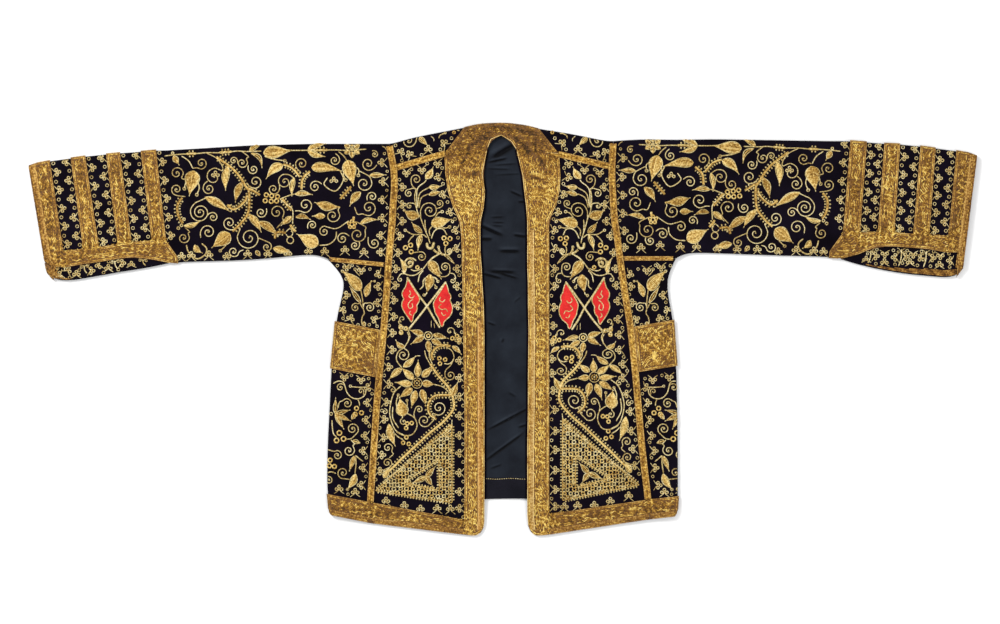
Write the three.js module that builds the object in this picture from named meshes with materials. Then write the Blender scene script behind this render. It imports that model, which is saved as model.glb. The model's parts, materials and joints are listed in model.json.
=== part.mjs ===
// An open embroidered jacket laid flat, front up. Millimetres, +Z up, +Y towards the collar.
// "left" is the side at -X and "right" the side at +X as the jacket lies.
//
// Every panel is a wall of cloth built from rows of named points. The upper layer lies at height(x, y),
// the lower layer has its outer face on the table at z = 0, and the side panels, the sleeves, the gussets
// and the back are each one sheet folded over at the side, at the arm's top, under the arm or at the shoulder.
// Couched gold borders are thin pads made from the rows of the panel below, moved out.
import * as THREE from "three";

// ---- driving dimensions ----
const WALL = 2.2; // embroidered cloth, backed and lined
const LINING = 1.0; // the loose lining that shows between the fronts
const BORDER = 1.4; // couched gold border over the cloth
const FLAG = 0.9; // applied red flag
const GAP = 0.3; // clear space between pieces, at seams and between layers
const REST_HEIGHT = 7.2; // outer face of the upper layer above the table
const STRIP_HALF = 5; // half the width of the gold strip over a long seam
const SHOULDER_HALF = 4.5; // half the width of the strip over the shoulder seam
const UNDERARM_HALF = 3.3; // half the width of the strip over the underarm seam
const HEM_DROP = 4.2; // how far the fronts sink to the table below the shorter back
const HEM_DROP_START = -2; // where that sinking starts and ends, below the back's hem
const HEM_DROP_END = 26;
const BACK_HEM_Y = -252; // the back's hem at the centre, and how much lower it is at the side folds
const BACK_HEM_DIP = 24;
const SIDE_X = 260; // half the width of the body at the hem
const ARC_STEPS = 6; // facets round a fold
const BACK_UPPER_STOPS = [0, 0.4]; // rows between the back's upper edge and its fold, as shares of the way
const FACING_Y = -221; // the stitched line where the lining meets the back's hem facing
const LINING_REACH = 34; // how far the lining runs in under each front
const LINING_SHORT = 9; // how far the lining stops short of the shoulder fold

const COLOURS = { cloth: 0x14141f, gold: 0xb28947, lining: 0x24282f, facing: 0x1e1d26, red: 0xc4423a };

// ---- the body's rows, from the hem up ----
// Each entry is [distance out from the centre plane, height up the garment]. fold is the side fold, seam the
// seam between side panel and front (above the underarm, the armhole), border the outer edge of the gold front
// border, edge the front edge. back is the height at which the same row meets the seam on the lower layer.
const BODY = {
  left: [
    { at: "hem", fold: [256, -277], seam: [197, -289], border: [59, -306], edge: [40, -308], back: -268 },
    { at: "corner", fold: [260, -270], seam: [198, -281], border: [58, -300], edge: [29, -301], back: -261 },
    { at: "hemTop", fold: [262, -245], seam: [198, -257], border: [57, -284], edge: [27, -286], back: -239 },
    { at: "low", fold: [263, -228], seam: [197, -240], border: [57, -257], edge: [27, -257], back: -226 },
    { at: "skirt", fold: [263, -206], seam: [195, -214], border: [57, -221], edge: [27, -221], back: -212 },
    { at: "hip", fold: [262, -161], seam: [192, -166], border: [57, -169], edge: [27, -169], back: -166 },
    { at: "belly", fold: [259, -113], seam: [189, -119], border: [57, -119], edge: [27, -119], back: -119 },
    { at: "waistLow", fold: [257, -57], seam: [185, -71], border: [58, -71], edge: [27, -71], back: -71 },
    { at: "waistTop", fold: [250, 14], seam: [178, 0], border: [59, 0], edge: [27, 0], back: 0 },
    { at: "chest", fold: [242, 46], seam: [175, 38], border: [60, 40], edge: [28, 40], back: 38 },
    { at: "narrow", fold: [237, 68], seam: [173, 65], border: [60, 70], edge: [30, 70], back: 65 },
    { at: "bend", fold: [241, 84], seam: [172, 80], border: [61, 94], edge: [31, 94], back: 80 },
    { at: "underarm", fold: [262, 107], seam: [171, 98], border: [61, 118], edge: [33, 118], back: 98 },
    { at: "arm1", seam: [168, 131], border: [62, 142], edge: [33, 142] },
    { at: "arm2", seam: [165, 163], border: [64, 163], edge: [33, 163] },
    { at: "arm3", seam: [164, 187], border: [74, 184], edge: [28, 184] },
    { at: "arm4", seam: [162, 211], border: [82, 208], edge: [26, 208] },
    { at: "arm5", seam: [162, 227], border: [86, 235], edge: [30, 235] },
    { at: "shoulder", seam: [163, 243], border: [87, 265], edge: [23, 271] },
  ],
  right: [
    { at: "hem", fold: [257, -279], seam: [221, -283], border: [71, -306], edge: [50, -308], back: -265 },
    { at: "corner", fold: [262, -271], seam: [220, -274], border: [70, -299], edge: [39, -300], back: -257 },
    { at: "hemTop", fold: [263, -248], seam: [218, -253], border: [70, -275], edge: [37, -278], back: -236 },
    { at: "low", fold: [263, -231], seam: [216, -235], border: [70, -255], edge: [37, -256], back: -225 },
    { at: "skirt", fold: [263, -209], seam: [213, -211], border: [70, -221], edge: [37, -221], back: -209 },
    { at: "hip", fold: [263, -164], seam: [208, -166], border: [70, -169], edge: [37, -169], back: -166 },
    { at: "belly", fold: [262, -116], seam: [204, -119], border: [70, -119], edge: [38, -119], back: -119 },
    { at: "waistLow", fold: [261, -53], seam: [199, -63], border: [70, -68], edge: [38, -68], back: -63 },
    { at: "waistTop", fold: [256, 16], seam: [192, 5], border: [70, 1], edge: [39, 1], back: 5 },
    { at: "chest", fold: [250, 43], seam: [186, 40], border: [70, 40], edge: [38, 40], back: 40 },
    { at: "narrow", fold: [247, 64], seam: [182, 65], border: [70, 70], edge: [38, 70], back: 65 },
    { at: "bend", fold: [248, 83], seam: [179, 86], border: [70, 94], edge: [37, 94], back: 86 },
    { at: "underarm", fold: [260, 108], seam: [176, 108], border: [70, 121], edge: [37, 121], back: 108 },
    { at: "arm1", seam: [172, 139], border: [70, 142], edge: [37, 142] },
    { at: "arm2", seam: [168, 163], border: [69, 164], edge: [37, 164] },
    { at: "arm3", seam: [166, 190], border: [81, 188], edge: [35, 188] },
    { at: "arm4", seam: [165, 211], border: [86, 211], edge: [32, 211] },
    { at: "arm5", seam: [164, 229], border: [87, 232], edge: [30, 232] },
    { at: "shoulder", seam: [164, 245], border: [85, 264], edge: [21, 270] },
  ],
};
const ARM_TOP = { left: [170, 280], right: [166, 284] }; // where the armhole seam crosses the shoulder fold

// ---- the sleeves' rows, from the armhole to the cuff ----
// top is the fold along the arm, low the lower edge. gusset is the height of the gusset let in under the arm,
// and band the height of the gold band above it. Rows named join are sewn to the side panel, rows with no
// gusset close in a seam under the arm, and stripe rows carry the edges of the gold stripes.
const SLEEVE = {
  left: [
    { at: "join1", top: [182, 280], low: [182, 99], band: 60 },
    { at: "join2", top: [220, 280], low: [220, 103], band: 60 },
    { at: "join3", top: [261, 280], low: [261, 107], band: 60 },
    { at: "arm1", top: [286, 280], low: [281, 115], band: 58 },
    { at: "arm2", top: [326, 279], low: [320, 111], band: 60 },
    { at: "arm3", top: [379, 278], low: [373, 106], band: 60 },
    { at: "arm4", top: [436, 274], low: [425, 104], band: 50 },
    { at: "arm5", top: [490, 271], low: [471, 103], band: 30 },
    { at: "bandTip", top: [506, 270], low: [486, 102], band: 7 },
    { at: "stripe1", top: [519, 270], low: [500, 101], gusset: 1, band: 33 },
    { at: "stripe1End", top: [542, 268], low: [521, 96], gusset: 10, band: 29 },
    { at: "stripe2", top: [573, 266], low: [550, 91], gusset: 19, band: 23 },
    { at: "stripe2End", top: [594, 264], low: [571, 88], gusset: 20, band: 22 },
    { at: "stripe3", top: [625, 261], low: [598, 83], gusset: 20, band: 22 },
    { at: "stripe3End", top: [647, 258], low: [622, 79], gusset: 21, band: 23 },
    { at: "cuffTop", top: [678, 254], low: [651, 74], gusset: 21, band: 24 },
    { at: "round", top: [696, 251], low: [672, 76], gusset: 19, band: 24 },
    { at: "cuff", top: [710, 246], low: [684, 90], gusset: 12, band: 22 },
  ],
  right: [
    { at: "join1", top: [179, 285], low: [188, 108], band: 60 },
    { at: "join2", top: [214, 287], low: [221, 108], band: 60 },
    { at: "join3", top: [248, 286], low: [260, 108], band: 60 },
    { at: "arm1", top: [272, 286], low: [275, 117], band: 58 },
    { at: "arm2", top: [314, 287], low: [314, 116], band: 60 },
    { at: "arm3", top: [371, 286], low: [368, 114], band: 60 },
    { at: "arm4", top: [431, 285], low: [422, 112], band: 50 },
    { at: "arm5", top: [489, 284], low: [474, 111], band: 30 },
    { at: "bandTip", top: [505, 284], low: [489, 110], band: 7 },
    { at: "stripe1", top: [521, 284], low: [507, 107], gusset: 1, band: 39 },
    { at: "stripe1End", top: [546, 282], low: [532, 99], gusset: 15, band: 32 },
    { at: "stripe2", top: [572, 280], low: [558, 93], gusset: 33, band: 23 },
    { at: "stripe2End", top: [596, 279], low: [583, 88], gusset: 38, band: 21 },
    { at: "stripe3", top: [626, 276], low: [610, 84], gusset: 40, band: 21 },
    { at: "stripe3End", top: [649, 273], low: [635, 82], gusset: 40, band: 22 },
    { at: "cuffTop", top: [680, 269], low: [662, 79], gusset: 38, band: 25 },
    { at: "round", top: [698, 266], low: [680, 81], gusset: 36, band: 25 },
    { at: "cuff", top: [711, 261], low: [690, 94], gusset: 26, band: 22 },
  ],
};

// ---- the back's columns, from the left armhole to the right ----
// fold is the point on the shoulder fold, end the point where the column stops on the upper layer, at a
// shoulder seam or at the neckline.
const BACK = [
  { at: "left", fold: [-170, 280], end: [-163, 243] },
  { at: "l1", fold: [-162, 281], end: [-154, 245.6] },
  { at: "l2", fold: [-136, 289], end: [-125, 254] },
  { at: "l3", fold: [-100, 296], end: [-104, 260.1] },
  { at: "borderLeft", fold: [-58, 304], end: [-87, 265] },
  { at: "l5", fold: [-43, 307], end: [-55, 268] },
  { at: "neckLeft", fold: [-29, 309], end: [-23, 271] },
  { at: "l7", fold: [-17, 309.5], end: [-17, 286] },
  { at: "nape", fold: [-4, 310], end: [-2, 292] },
  { at: "r7", fold: [11, 309.5], end: [13, 283] },
  { at: "neckRight", fold: [23, 308], end: [21, 270] },
  { at: "r5", fold: [38, 306], end: [53, 267] },
  { at: "borderRight", fold: [55, 302], end: [85, 264] },
  { at: "r3", fold: [104, 295], end: [104, 259.4] },
  { at: "r2", fold: [131, 289], end: [128, 253.7] },
  { at: "r1", fold: [156, 284], end: [151, 248.1] },
  { at: "right", fold: [166, 284], end: [164, 245] },
];

// ---- soft swells of the upper layer ----
// Each is a long low mound: centre, direction in degrees, half its length and width, and its rise.
const SWELLS = [
  { x: -340, y: 190, turn: 78, long: 90, wide: 42, rise: 0.8 },
  { x: -452, y: 178, turn: 96, long: 80, wide: 38, rise: -0.5 },
  { x: -590, y: 168, turn: 8, long: 90, wide: 40, rise: 0.7 },
  { x: -228, y: 168, turn: -38, long: 80, wide: 36, rise: 0.7 },
  { x: -120, y: -130, turn: 84, long: 120, wide: 46, rise: 0.6 },
  { x: -118, y: 90, turn: 74, long: 90, wide: 42, rise: 0.6 },
  { x: -222, y: -150, turn: 80, long: 90, wide: 40, rise: 0.4 },
  { x: 330, y: 196, turn: 104, long: 90, wide: 42, rise: 0.7 },
  { x: 436, y: 184, turn: 82, long: 90, wide: 36, rise: -0.5 },
  { x: 600, y: 184, turn: -6, long: 90, wide: 44, rise: 0.7 },
  { x: 224, y: 178, turn: 40, long: 80, wide: 36, rise: 0.8 },
  { x: 134, y: -110, turn: 94, long: 130, wide: 48, rise: 0.6 },
  { x: 124, y: 112, turn: 102, long: 90, wide: 42, rise: 0.5 },
];

// ---- creases of the loose lining ----
const CREASES = [
  { x: -2, y: 144, turn: -24, long: 26, wide: 9, rise: 0.9 },
  { x: 22, y: 136, turn: -8, long: 20, wide: 8, rise: 0.7 },
  { x: 10, y: 116, turn: 2, long: 24, wide: 8, rise: 0.8 },
  { x: 4, y: 86, turn: -4, long: 34, wide: 9, rise: 0.9 },
  { x: 14, y: -128, turn: 26, long: 36, wide: 9, rise: 0.9 },
  { x: 2, y: -168, turn: 28, long: 34, wide: 9, rise: 0.8 },
  { x: 6, y: 254, turn: 30, long: 16, wide: 9, rise: 0.6 },
];

// ---- the crossed flags applied to each front ----
// Rows from the head down: height, and the near and far edge as distances out of the gold front border.
const FLAGS = {
  outer: [
    { y: 75.5, near: 80.5, far: 83 },
    { y: 67, near: 76, far: 89 },
    { y: 58, near: 68, far: 92 },
    { y: 49, near: 64.5, far: 92.3 },
    { y: 40, near: 66, far: 91.5 },
    { y: 31, near: 70, far: 89 },
    { y: 22, near: 73.5, far: 85 },
    { y: 15, near: 76.5, far: 79 },
  ],
  inner: [
    { y: 71, near: 23.5, far: 26 },
    { y: 62, near: 18, far: 31.5 },
    { y: 53, near: 15.5, far: 39.5 },
    { y: 44, near: 15, far: 44 },
    { y: 35, near: 15.3, far: 45 },
    { y: 26, near: 18.5, far: 41 },
    { y: 17, near: 23, far: 37.5 },
    { y: 7.5, near: 29.5, far: 32 },
  ],
};

// ---- small helpers ----
const SIGN = { left: -1, right: 1 };
const lerp = (a, b, t) => a + (b - a) * t;
const between = (p, q, t) => [lerp(p[0], q[0], t), lerp(p[1], q[1], t)];
const distance = (p, q) => Math.hypot(q[0] - p[0], q[1] - p[1]);
const toward = (p, q, length) => between(p, q, length / distance(p, q));
const placed = (side, point) => [SIGN[side] * point[0], point[1]];
const rowAt = (rows, at) => rows.findIndex((row) => row.at === at);
const smooth = (a, b, v) => THREE.MathUtils.smoothstep(v, a, b);

function mound({ x, y, turn, long, wide, rise }, px, py) {
  const a = THREE.MathUtils.degToRad(turn);
  const along = (px - x) * Math.cos(a) + (py - y) * Math.sin(a);
  const across = (py - y) * Math.cos(a) - (px - x) * Math.sin(a);
  return rise * Math.exp(-((along / long) ** 2) - (across / wide) ** 2);
}

// Height of the upper layer's outer face. Below the back's hem the fronts sink towards the table.
function height(x, y) {
  const backHem = BACK_HEM_Y - BACK_HEM_DIP * (x / SIDE_X) ** 2;
  const drop = HEM_DROP * smooth(HEM_DROP_START, HEM_DROP_END, backHem - y);
  const swell = SWELLS.reduce((sum, s) => sum + mound(s, x, y), 0);
  return REST_HEIGHT + swell - drop;
}

// ---- points of cloth: a point p on the outer face and the way n out of it ----
const upper = ([x, y]) => ({ p: [x, y, height(x, y)], n: [0, 0, 1] });
const lower = ([x, y]) => ({ p: [x, y, 0], n: [0, 0, -1] });

// A point on the round of a fold: r its radius, centre its axis, way the direction out of the fold in plan,
// and angle 90 degrees at the upper layer, 0 at the outermost edge and -90 at the lower layer.
function rounded(centre, way, r, angle) {
  const a = THREE.MathUtils.degToRad(angle);
  const out = r * Math.cos(a);
  return {
    p: [centre[0] + way[0] * out, centre[1] + way[1] * out, r + r * Math.sin(a)],
    n: [way[0] * Math.cos(a), way[1] * Math.cos(a), Math.sin(a)],
  };
}

// A row of a sheet folded once: plan points on the upper layer, round the fold, plan points on the lower layer.
function foldedRow(above, fold, below) {
  const from = above.at(-1);
  const length = distance(from, fold);
  const way = [(fold[0] - from[0]) / length, (fold[1] - from[1]) / length];
  const r = height(...fold) / 2;
  const centre = [fold[0] - way[0] * r, fold[1] - way[1] * r];
  const angles = Array.from({ length: ARC_STEPS + 1 }, (_, i) => 90 - (180 * i) / ARC_STEPS);
  const arc = angles.map((angle) => rounded(centre, way, r, angle));
  return [...above.map(upper), ...arc, ...below.map(lower)];
}

// ---- solids ----
// A closed wall between two offsets along n of a grid of cloth points.
function wall(grid, inner, outer) {
  const rows = grid.length;
  const columns = grid[0].length;
  const position = [];
  for (const offset of [outer, inner])
    for (const row of grid) for (const { p, n } of row) position.push(...p.map((v, k) => v + n[k] * offset));
  const index = [];
  const face = (a, b, c, d) => index.push(a, b, c, a, c, d);
  const top = (i, j) => i * columns + j;
  const bottom = (i, j) => rows * columns + top(i, j);
  for (let i = 0; i + 1 < rows; i++)
    for (let j = 0; j + 1 < columns; j++) {
      face(top(i, j), top(i, j + 1), top(i + 1, j + 1), top(i + 1, j));
      face(bottom(i, j), bottom(i + 1, j), bottom(i + 1, j + 1), bottom(i, j + 1));
    }
  for (let i = 0; i + 1 < rows; i++) {
    face(top(i, 0), top(i + 1, 0), bottom(i + 1, 0), bottom(i, 0));
    face(top(i, columns - 1), bottom(i, columns - 1), bottom(i + 1, columns - 1), top(i + 1, columns - 1));
  }
  for (let j = 0; j + 1 < columns; j++) {
    face(top(0, j), bottom(0, j), bottom(0, j + 1), top(0, j + 1));
    face(top(rows - 1, j), top(rows - 1, j + 1), bottom(rows - 1, j + 1), bottom(rows - 1, j));
  }
  if (volume(position, index) < 0) index.reverse();
  const geometry = new THREE.BufferGeometry();
  geometry.setAttribute("position", new THREE.Float32BufferAttribute(position, 3));
  geometry.setIndex(index);
  geometry.computeVertexNormals();
  return geometry;
}

function volume(position, index) {
  const at = (i) => new THREE.Vector3().fromArray(position, 3 * i);
  let sum = 0;
  for (let i = 0; i < index.length; i += 3)
    sum += at(index[i]).dot(at(index[i + 1]).cross(at(index[i + 2]))) / 6;
  return sum;
}

const jacket = new THREE.Group();

function add(name, geometry, colour, metalness = 0) {
  const material = new THREE.MeshStandardMaterial({
    color: COLOURS[colour],
    roughness: colour === "gold" ? 0.45 : 0.85,
    metalness,
  });
  const mesh = new THREE.Mesh(geometry, material);
  mesh.name = name;
  jacket.add(mesh);
}

const panel = (name, grid) => add(name, wall(grid, -WALL, 0), "cloth");
const gold = (name, grid) => add(name, wall(grid, GAP, GAP + BORDER), "gold", 0.6);
const part = (grid, rows, columns) =>
  grid.slice(rows[0], rows[1] + 1).map((row) => row.slice(columns[0], columns[1] + 1));

// The same grid with an edge drawn back by a gap, so that a border stops clear of the next one.
const drawnBack = (point, next) => upper(toward(point.p, next.p, GAP));
const withStartMoved = (grid) => grid.map((row) => [drawnBack(row[0], row[1]), ...row.slice(1)]);
const withEndMoved = (grid) => grid.map((row) => [...row.slice(0, -1), drawnBack(row.at(-1), row.at(-2))]);
const withTopMoved = (grid) => [...grid.slice(0, -1), grid.at(-1).map((p, j) => drawnBack(p, grid.at(-2)[j]))];

// ---- fronts ----
// Columns run from the seam to the front edge.
const FRONT_STOPS = [0.25, 0.5, 0.75]; // between the strip and the border, as shares of the way
const BORDER_STOPS = [1 / 3, 2 / 3]; // across the gold border
const FRONT = { seam: 0, border: FRONT_STOPS.length + 2, edge: FRONT_STOPS.length + BORDER_STOPS.length + 3 };

function frontGrid(side) {
  return BODY[side].map((row) => {
    const short = row.at === "shoulder" ? GAP / 2 : 0;
    const seam = [row.seam[0] - GAP / 2, row.seam[1] - short];
    const border = [row.border[0], row.border[1] - short];
    const edge = [row.edge[0], row.edge[1] - short];
    const strip = toward(seam, border, STRIP_HALF);
    const panelStops = FRONT_STOPS.map((t) => between(strip, border, t));
    const borderStops = BORDER_STOPS.map((t) => between(border, edge, t));
    const points = [seam, strip, ...panelStops, border, ...borderStops, edge];
    return points.map((point) => upper(placed(side, point)));
  });
}

function fronts(side) {
  const rows = BODY[side];
  const grid = frontGrid(side);
  const last = rows.length - 1;
  panel(`front_${side}`, grid);
  gold(`front_border_${side}`, part(grid, [0, last], [FRONT.border, FRONT.edge]));
  const hem = part(grid, [0, rowAt(rows, "hemTop")], [FRONT.seam, FRONT.border]);
  gold(`hem_border_front_${side}`, withEndMoved(hem));
}

// ---- side panels, folded at the side ----
const SIDE_STOPS = [0.42, 0.72]; // columns between the strip and the fold, as shares of the way out

function sideGrid(side) {
  const rows = BODY[side].filter((row) => row.fold);
  return rows.map((row) => {
    const lift = row.at === "underarm" ? -GAP / 2 : 0;
    const fold = [row.fold[0], row.fold[1] + lift];
    const seam = [row.seam[0] + GAP / 2, row.seam[1] + lift];
    const backSeam = [seam[0], row.back + lift];
    const panelStops = (start) => SIDE_STOPS.map((t) => between(start, fold, t));
    const out = (start) => [start, toward(start, fold, STRIP_HALF), ...panelStops(start)];
    const place = (points) => points.map((point) => placed(side, point));
    return foldedRow(place(out(seam)), placed(side, fold), place(out(backSeam).reverse()));
  });
}

function sides(side) {
  const rows = BODY[side];
  const grid = sideGrid(side);
  const equator = 1 + SIDE_STOPS.length + 1 + ARC_STEPS / 2;
  panel(`side_${side}`, grid);
  gold(`hem_border_side_${side}`, part(grid, [0, rowAt(rows, "hemTop")], [0, equator]));
  const belt = part(grid, [rowAt(rows, "waistLow"), rowAt(rows, "waistTop")], [1, equator]);
  gold(`waist_band_${side}`, withStartMoved(belt));
}

// ---- sleeves ----
// The armhole seam from the underarm up to the shoulder fold.
function armhole(side) {
  const rows = BODY[side].slice(rowAt(BODY[side], "underarm"));
  const line = rows.map((row) => row.seam);
  return [...line, between(line.at(-1), ARM_TOP[side], BACK_UPPER_STOPS[1]), ARM_TOP[side]];
}

// The sleeve's cross-section at a row, reached by the length of cloth s from its lowest edge, on layer 1 above
// and on layer -1 below. The lower edge is rounded, except where the row joins the side panel.
function sleeveRow(side, row) {
  const low = placed(side, row.low);
  const top = placed(side, row.top);
  const length = distance(low, top);
  const up = [(top[0] - low[0]) / length, (top[1] - low[1]) / length];
  const r = height(...low) / 2;
  const quarter = (Math.PI * r) / 2;
  const joins = row.at.startsWith("join");
  const base = joins ? low : toward(low, top, r);
  const full = quarter + distance(base, top) - height(...top) / 2;
  const plan = (s) => [base[0] + up[0] * (s - quarter), base[1] + up[1] * (s - quarter)];
  const curl = (s, layer) => rounded(base, [-up[0], -up[1]], r, (layer * s * 90) / quarter);
  const flat = (s, layer) => (layer > 0 ? upper(plan(s)) : lower(plan(s)));
  const at = (s, layer) => (s < quarter ? curl(s, layer) : flat(s, layer));
  const seam = joins ? quarter : row.gusset ? Math.max(row.gusset - r + quarter, GAP) : 0;
  return { at, plan, top, quarter, full, seam };
}

const CURL_STOPS = 3; // columns from the sleeve's seam to the end of its rounded edge
const MEDIAL_STOPS = [0.25, 0.5, 0.75]; // between the gold band and the top fold, as shares of the way
const BAND = CURL_STOPS + 1;
const SLEEVE_EQUATOR = BAND + MEDIAL_STOPS.length + 1 + ARC_STEPS / 2;

function sleeveGrid(side) {
  const rows = SLEEVE[side].map((row) => {
    const { at, plan, top, quarter, full, seam } = sleeveRow(side, row);
    const start = seam + GAP / 2;
    const step = Math.max(quarter - start, 2 * STRIP_HALF) / CURL_STOPS;
    const curled = Array.from({ length: CURL_STOPS + 1 }, (_, k) => start + k * step);
    const band = Math.max(start + row.band, curled.at(-1) + 1);
    const medial = MEDIAL_STOPS.map((t) => lerp(band, full, t));
    const stops = [...curled, band, ...medial];
    const fold = foldedRow([plan(stops.at(-1))], top, []).slice(1);
    return [...stops.map((s) => at(s, 1)), ...fold, ...stops.toReversed().map((s) => at(s, -1))];
  });
  const seam = armhole(side).map(([x, y], k) => placed(side, [x + GAP / 2, y + (k ? 0 : GAP / 2)]));
  const stops = seam.slice(0, -1);
  return [foldedRow(stops, seam.at(-1), stops.toReversed()), ...rows];
}

function sleeves(side) {
  const rows = [{ at: "armhole" }, ...SLEEVE[side]];
  const grid = sleeveGrid(side);
  const cuffTop = rowAt(rows, "cuffTop");
  panel(`sleeve_${side}`, grid);
  [1, 2, 3].forEach((n) => {
    const [from, to] = [rowAt(rows, `stripe${n}`), rowAt(rows, `stripe${n}End`)];
    gold(`sleeve_stripe_${side}_${n}`, withStartMoved(part(grid, [from, to], [BAND, SLEEVE_EQUATOR])));
  });
  const lengthwise = part(grid, [rowAt(rows, "bandTip"), cuffTop], [0, BAND]);
  gold(`sleeve_band_${side}`, withTopMoved(lengthwise));
  gold(`cuff_border_${side}`, part(grid, [cuffTop, rows.length - 1], [0, SLEEVE_EQUATOR]));
}

// The gusset, folded under the arm from the first stripe to the cuff.
const GUSSET_STOPS = [1, 0.55]; // columns above its rounded edge, as shares of its height
const GUSSET_CURL = [1, 2 / 3, 1 / 3]; // columns round its lower edge

function gussets(side) {
  const rows = SLEEVE[side].filter((row) => row.gusset);
  const grid = rows.map((row) => {
    const { at, quarter, seam } = sleeveRow(side, row);
    const reach = Math.max(seam - GAP / 2, 2 * GAP);
    const round = Math.min(quarter, reach / 2);
    const stops = [...GUSSET_STOPS.map((t) => lerp(round, reach, t)), ...GUSSET_CURL.map((t) => round * t)];
    return [...stops.map((s) => at(s, 1)), at(0, 1), ...stops.toReversed().map((s) => at(s, -1))];
  });
  const equator = GUSSET_STOPS.length + GUSSET_CURL.length;
  panel(`sleeve_gusset_${side}`, grid);
  gold(`gusset_border_${side}`, part(grid, [rowAt(rows, "round"), rows.length - 1], [0, equator]));
}

// ---- the back, folded over the shoulders ----

// A row of the lower layer, level with the body's rows of the same name on both sides.
function backRow(at) {
  const [l, r] = ["left", "right"].map((side) => {
    const row = BODY[side].find((candidate) => candidate.at === at);
    return placed(side, [row.seam[0] - GAP / 2, row.back ?? row.seam[1]]);
  });
  const columns = BACK.map(({ fold }) => (fold[0] - BACK[0].fold[0]) / (BACK.at(-1).fold[0] - BACK[0].fold[0]));
  const isHem = ["hem", "corner", "hemTop", "low"].includes(at);
  return columns.map((share) => {
    const [x, y] = between(l, r, share);
    const dip = BACK_HEM_DIP * 0.6 * (1 - (2 * share - 1) ** 2);
    return [x, y + (isHem ? dip : 0)];
  });
}

function backGrid() {
  const names = BODY.left.map((row) => row.at).toReversed();
  const levels = names.map(backRow);
  const columns = BACK.map(({ at, fold, end }, j) => {
    const inwards = at === "left" ? GAP / 2 : at === "right" ? -GAP / 2 : 0;
    const start = [end[0] + inwards, end[1] + GAP / 2];
    const crown = [fold[0] + inwards, fold[1]];
    const above = BACK_UPPER_STOPS.map((t) => between(start, crown, t));
    return foldedRow(above, crown, levels.map((level) => level[j]));
  });
  return columns;
}

function back() {
  const grid = backGrid();
  const equator = BACK_UPPER_STOPS.length + ARC_STEPS / 2;
  panel("back", grid);
  gold("neck_border", part(grid, [rowAt(BACK, "borderLeft"), rowAt(BACK, "borderRight")], [0, equator]));
}

// ---- lining and hem facing, seen between the fronts ----
const LINING_Z = WALL + GAP + LINING;
const LINING_ROWS = 26;
const LINING_COLUMNS = 8;

// Where a front's edge lies at a height up the garment.
function edgeAt(side, y) {
  const rows = BODY[side].map((row) => row.edge);
  const i = Math.max(1, rows.findIndex((edge) => edge[1] >= y));
  const [a, b] = y > rows.at(-1)[1] ? rows.slice(-2) : [rows[i - 1], rows[i]];
  return lerp(a[0], b[0], THREE.MathUtils.clamp((y - a[1]) / (b[1] - a[1]), 0, 1));
}

// The height of the shoulder fold above a place across the back.
function foldAt(x) {
  const j = BACK.findIndex(({ fold }) => fold[0] >= x);
  const [a, b] = [BACK[j - 1].fold, BACK[j].fold];
  return lerp(a[1], b[1], (x - a[0]) / (b[0] - a[0]));
}

function looseCloth(name, colour, low, high, rows) {
  const grid = Array.from({ length: rows + 1 }, (_, i) =>
    Array.from({ length: LINING_COLUMNS + 1 }, (_, j) => {
      const level = lerp(low(0), high(0), i / rows);
      const ends = [-edgeAt("left", level) - LINING_REACH, edgeAt("right", level) + LINING_REACH];
      const x = lerp(...ends, j / LINING_COLUMNS);
      const y = lerp(low(x), high(x), i / rows);
      const rise = CREASES.reduce((sum, crease) => sum + mound(crease, x, y), 0);
      return { p: [x, y, LINING_Z + rise], n: [0, 0, 1] };
    }),
  );
  add(name, wall(grid, -LINING, 0), colour);
}

function linings() {
  const hem = (x) => BACK_HEM_Y - BACK_HEM_DIP * (x / SIDE_X) ** 2 + GAP;
  looseCloth("back_lining", "lining", () => FACING_Y + GAP, (x) => foldAt(x) - LINING_SHORT, LINING_ROWS);
  looseCloth("hem_facing", "facing", hem, () => FACING_Y, 2);
}

// ---- gold strips over the seams ----
// A strip to both sides of a line of points, half its width each way, square to the line.
function stripAlong(name, line, half) {
  const grid = line.map((point, i) => {
    const [a, b] = [line[Math.max(0, i - 1)], line[Math.min(line.length - 1, i + 1)]];
    const length = distance(a, b);
    const across = [((b[1] - a[1]) * half) / length, ((a[0] - b[0]) * half) / length];
    return [-1, 0, 1].map((k) => upper([point[0] + k * across[0], point[1] + k * across[1]]));
  });
  gold(name, grid);
}

function strips(side) {
  const rows = BODY[side];
  const clear = STRIP_HALF + 4 * GAP;
  const top = toward(ARM_TOP[side], rows.at(-1).seam, REST_HEIGHT / 2);
  const long = [...rows.slice(rowAt(rows, "hemTop")).map((row) => row.seam), top];
  long[0] = toward(long[0], long[1], 3 * GAP);
  stripAlong(`seam_strip_${side}`, long.map((point) => placed(side, point)), STRIP_HALF);

  const across = (name, from, to, cut, half) => {
    const ends = [toward(from, to, clear), toward(to, from, cut)];
    stripAlong(name, [0, 0.5, 1].map((t) => placed(side, between(...ends, t))), half);
  };
  const shoulder = rows.at(-1);
  across(`shoulder_strip_${side}`, shoulder.seam, shoulder.border, SHOULDER_HALF, SHOULDER_HALF);
  const underarm = rows[rowAt(rows, "underarm")];
  across(`underarm_strip_${side}`, underarm.seam, underarm.fold, 2 * WALL, UNDERARM_HALF);
}

// ---- flags ----
// The place on a front at a distance out of its gold border and at a height.
function onFront(side, out, y) {
  const rows = BODY[side];
  const i = rows.findIndex((row) => row.border[1] >= y);
  const [a, b] = [rows[i - 1].border, rows[i].border];
  return placed(side, [lerp(a[0], b[0], (y - a[1]) / (b[1] - a[1])) + out, y]);
}

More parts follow.
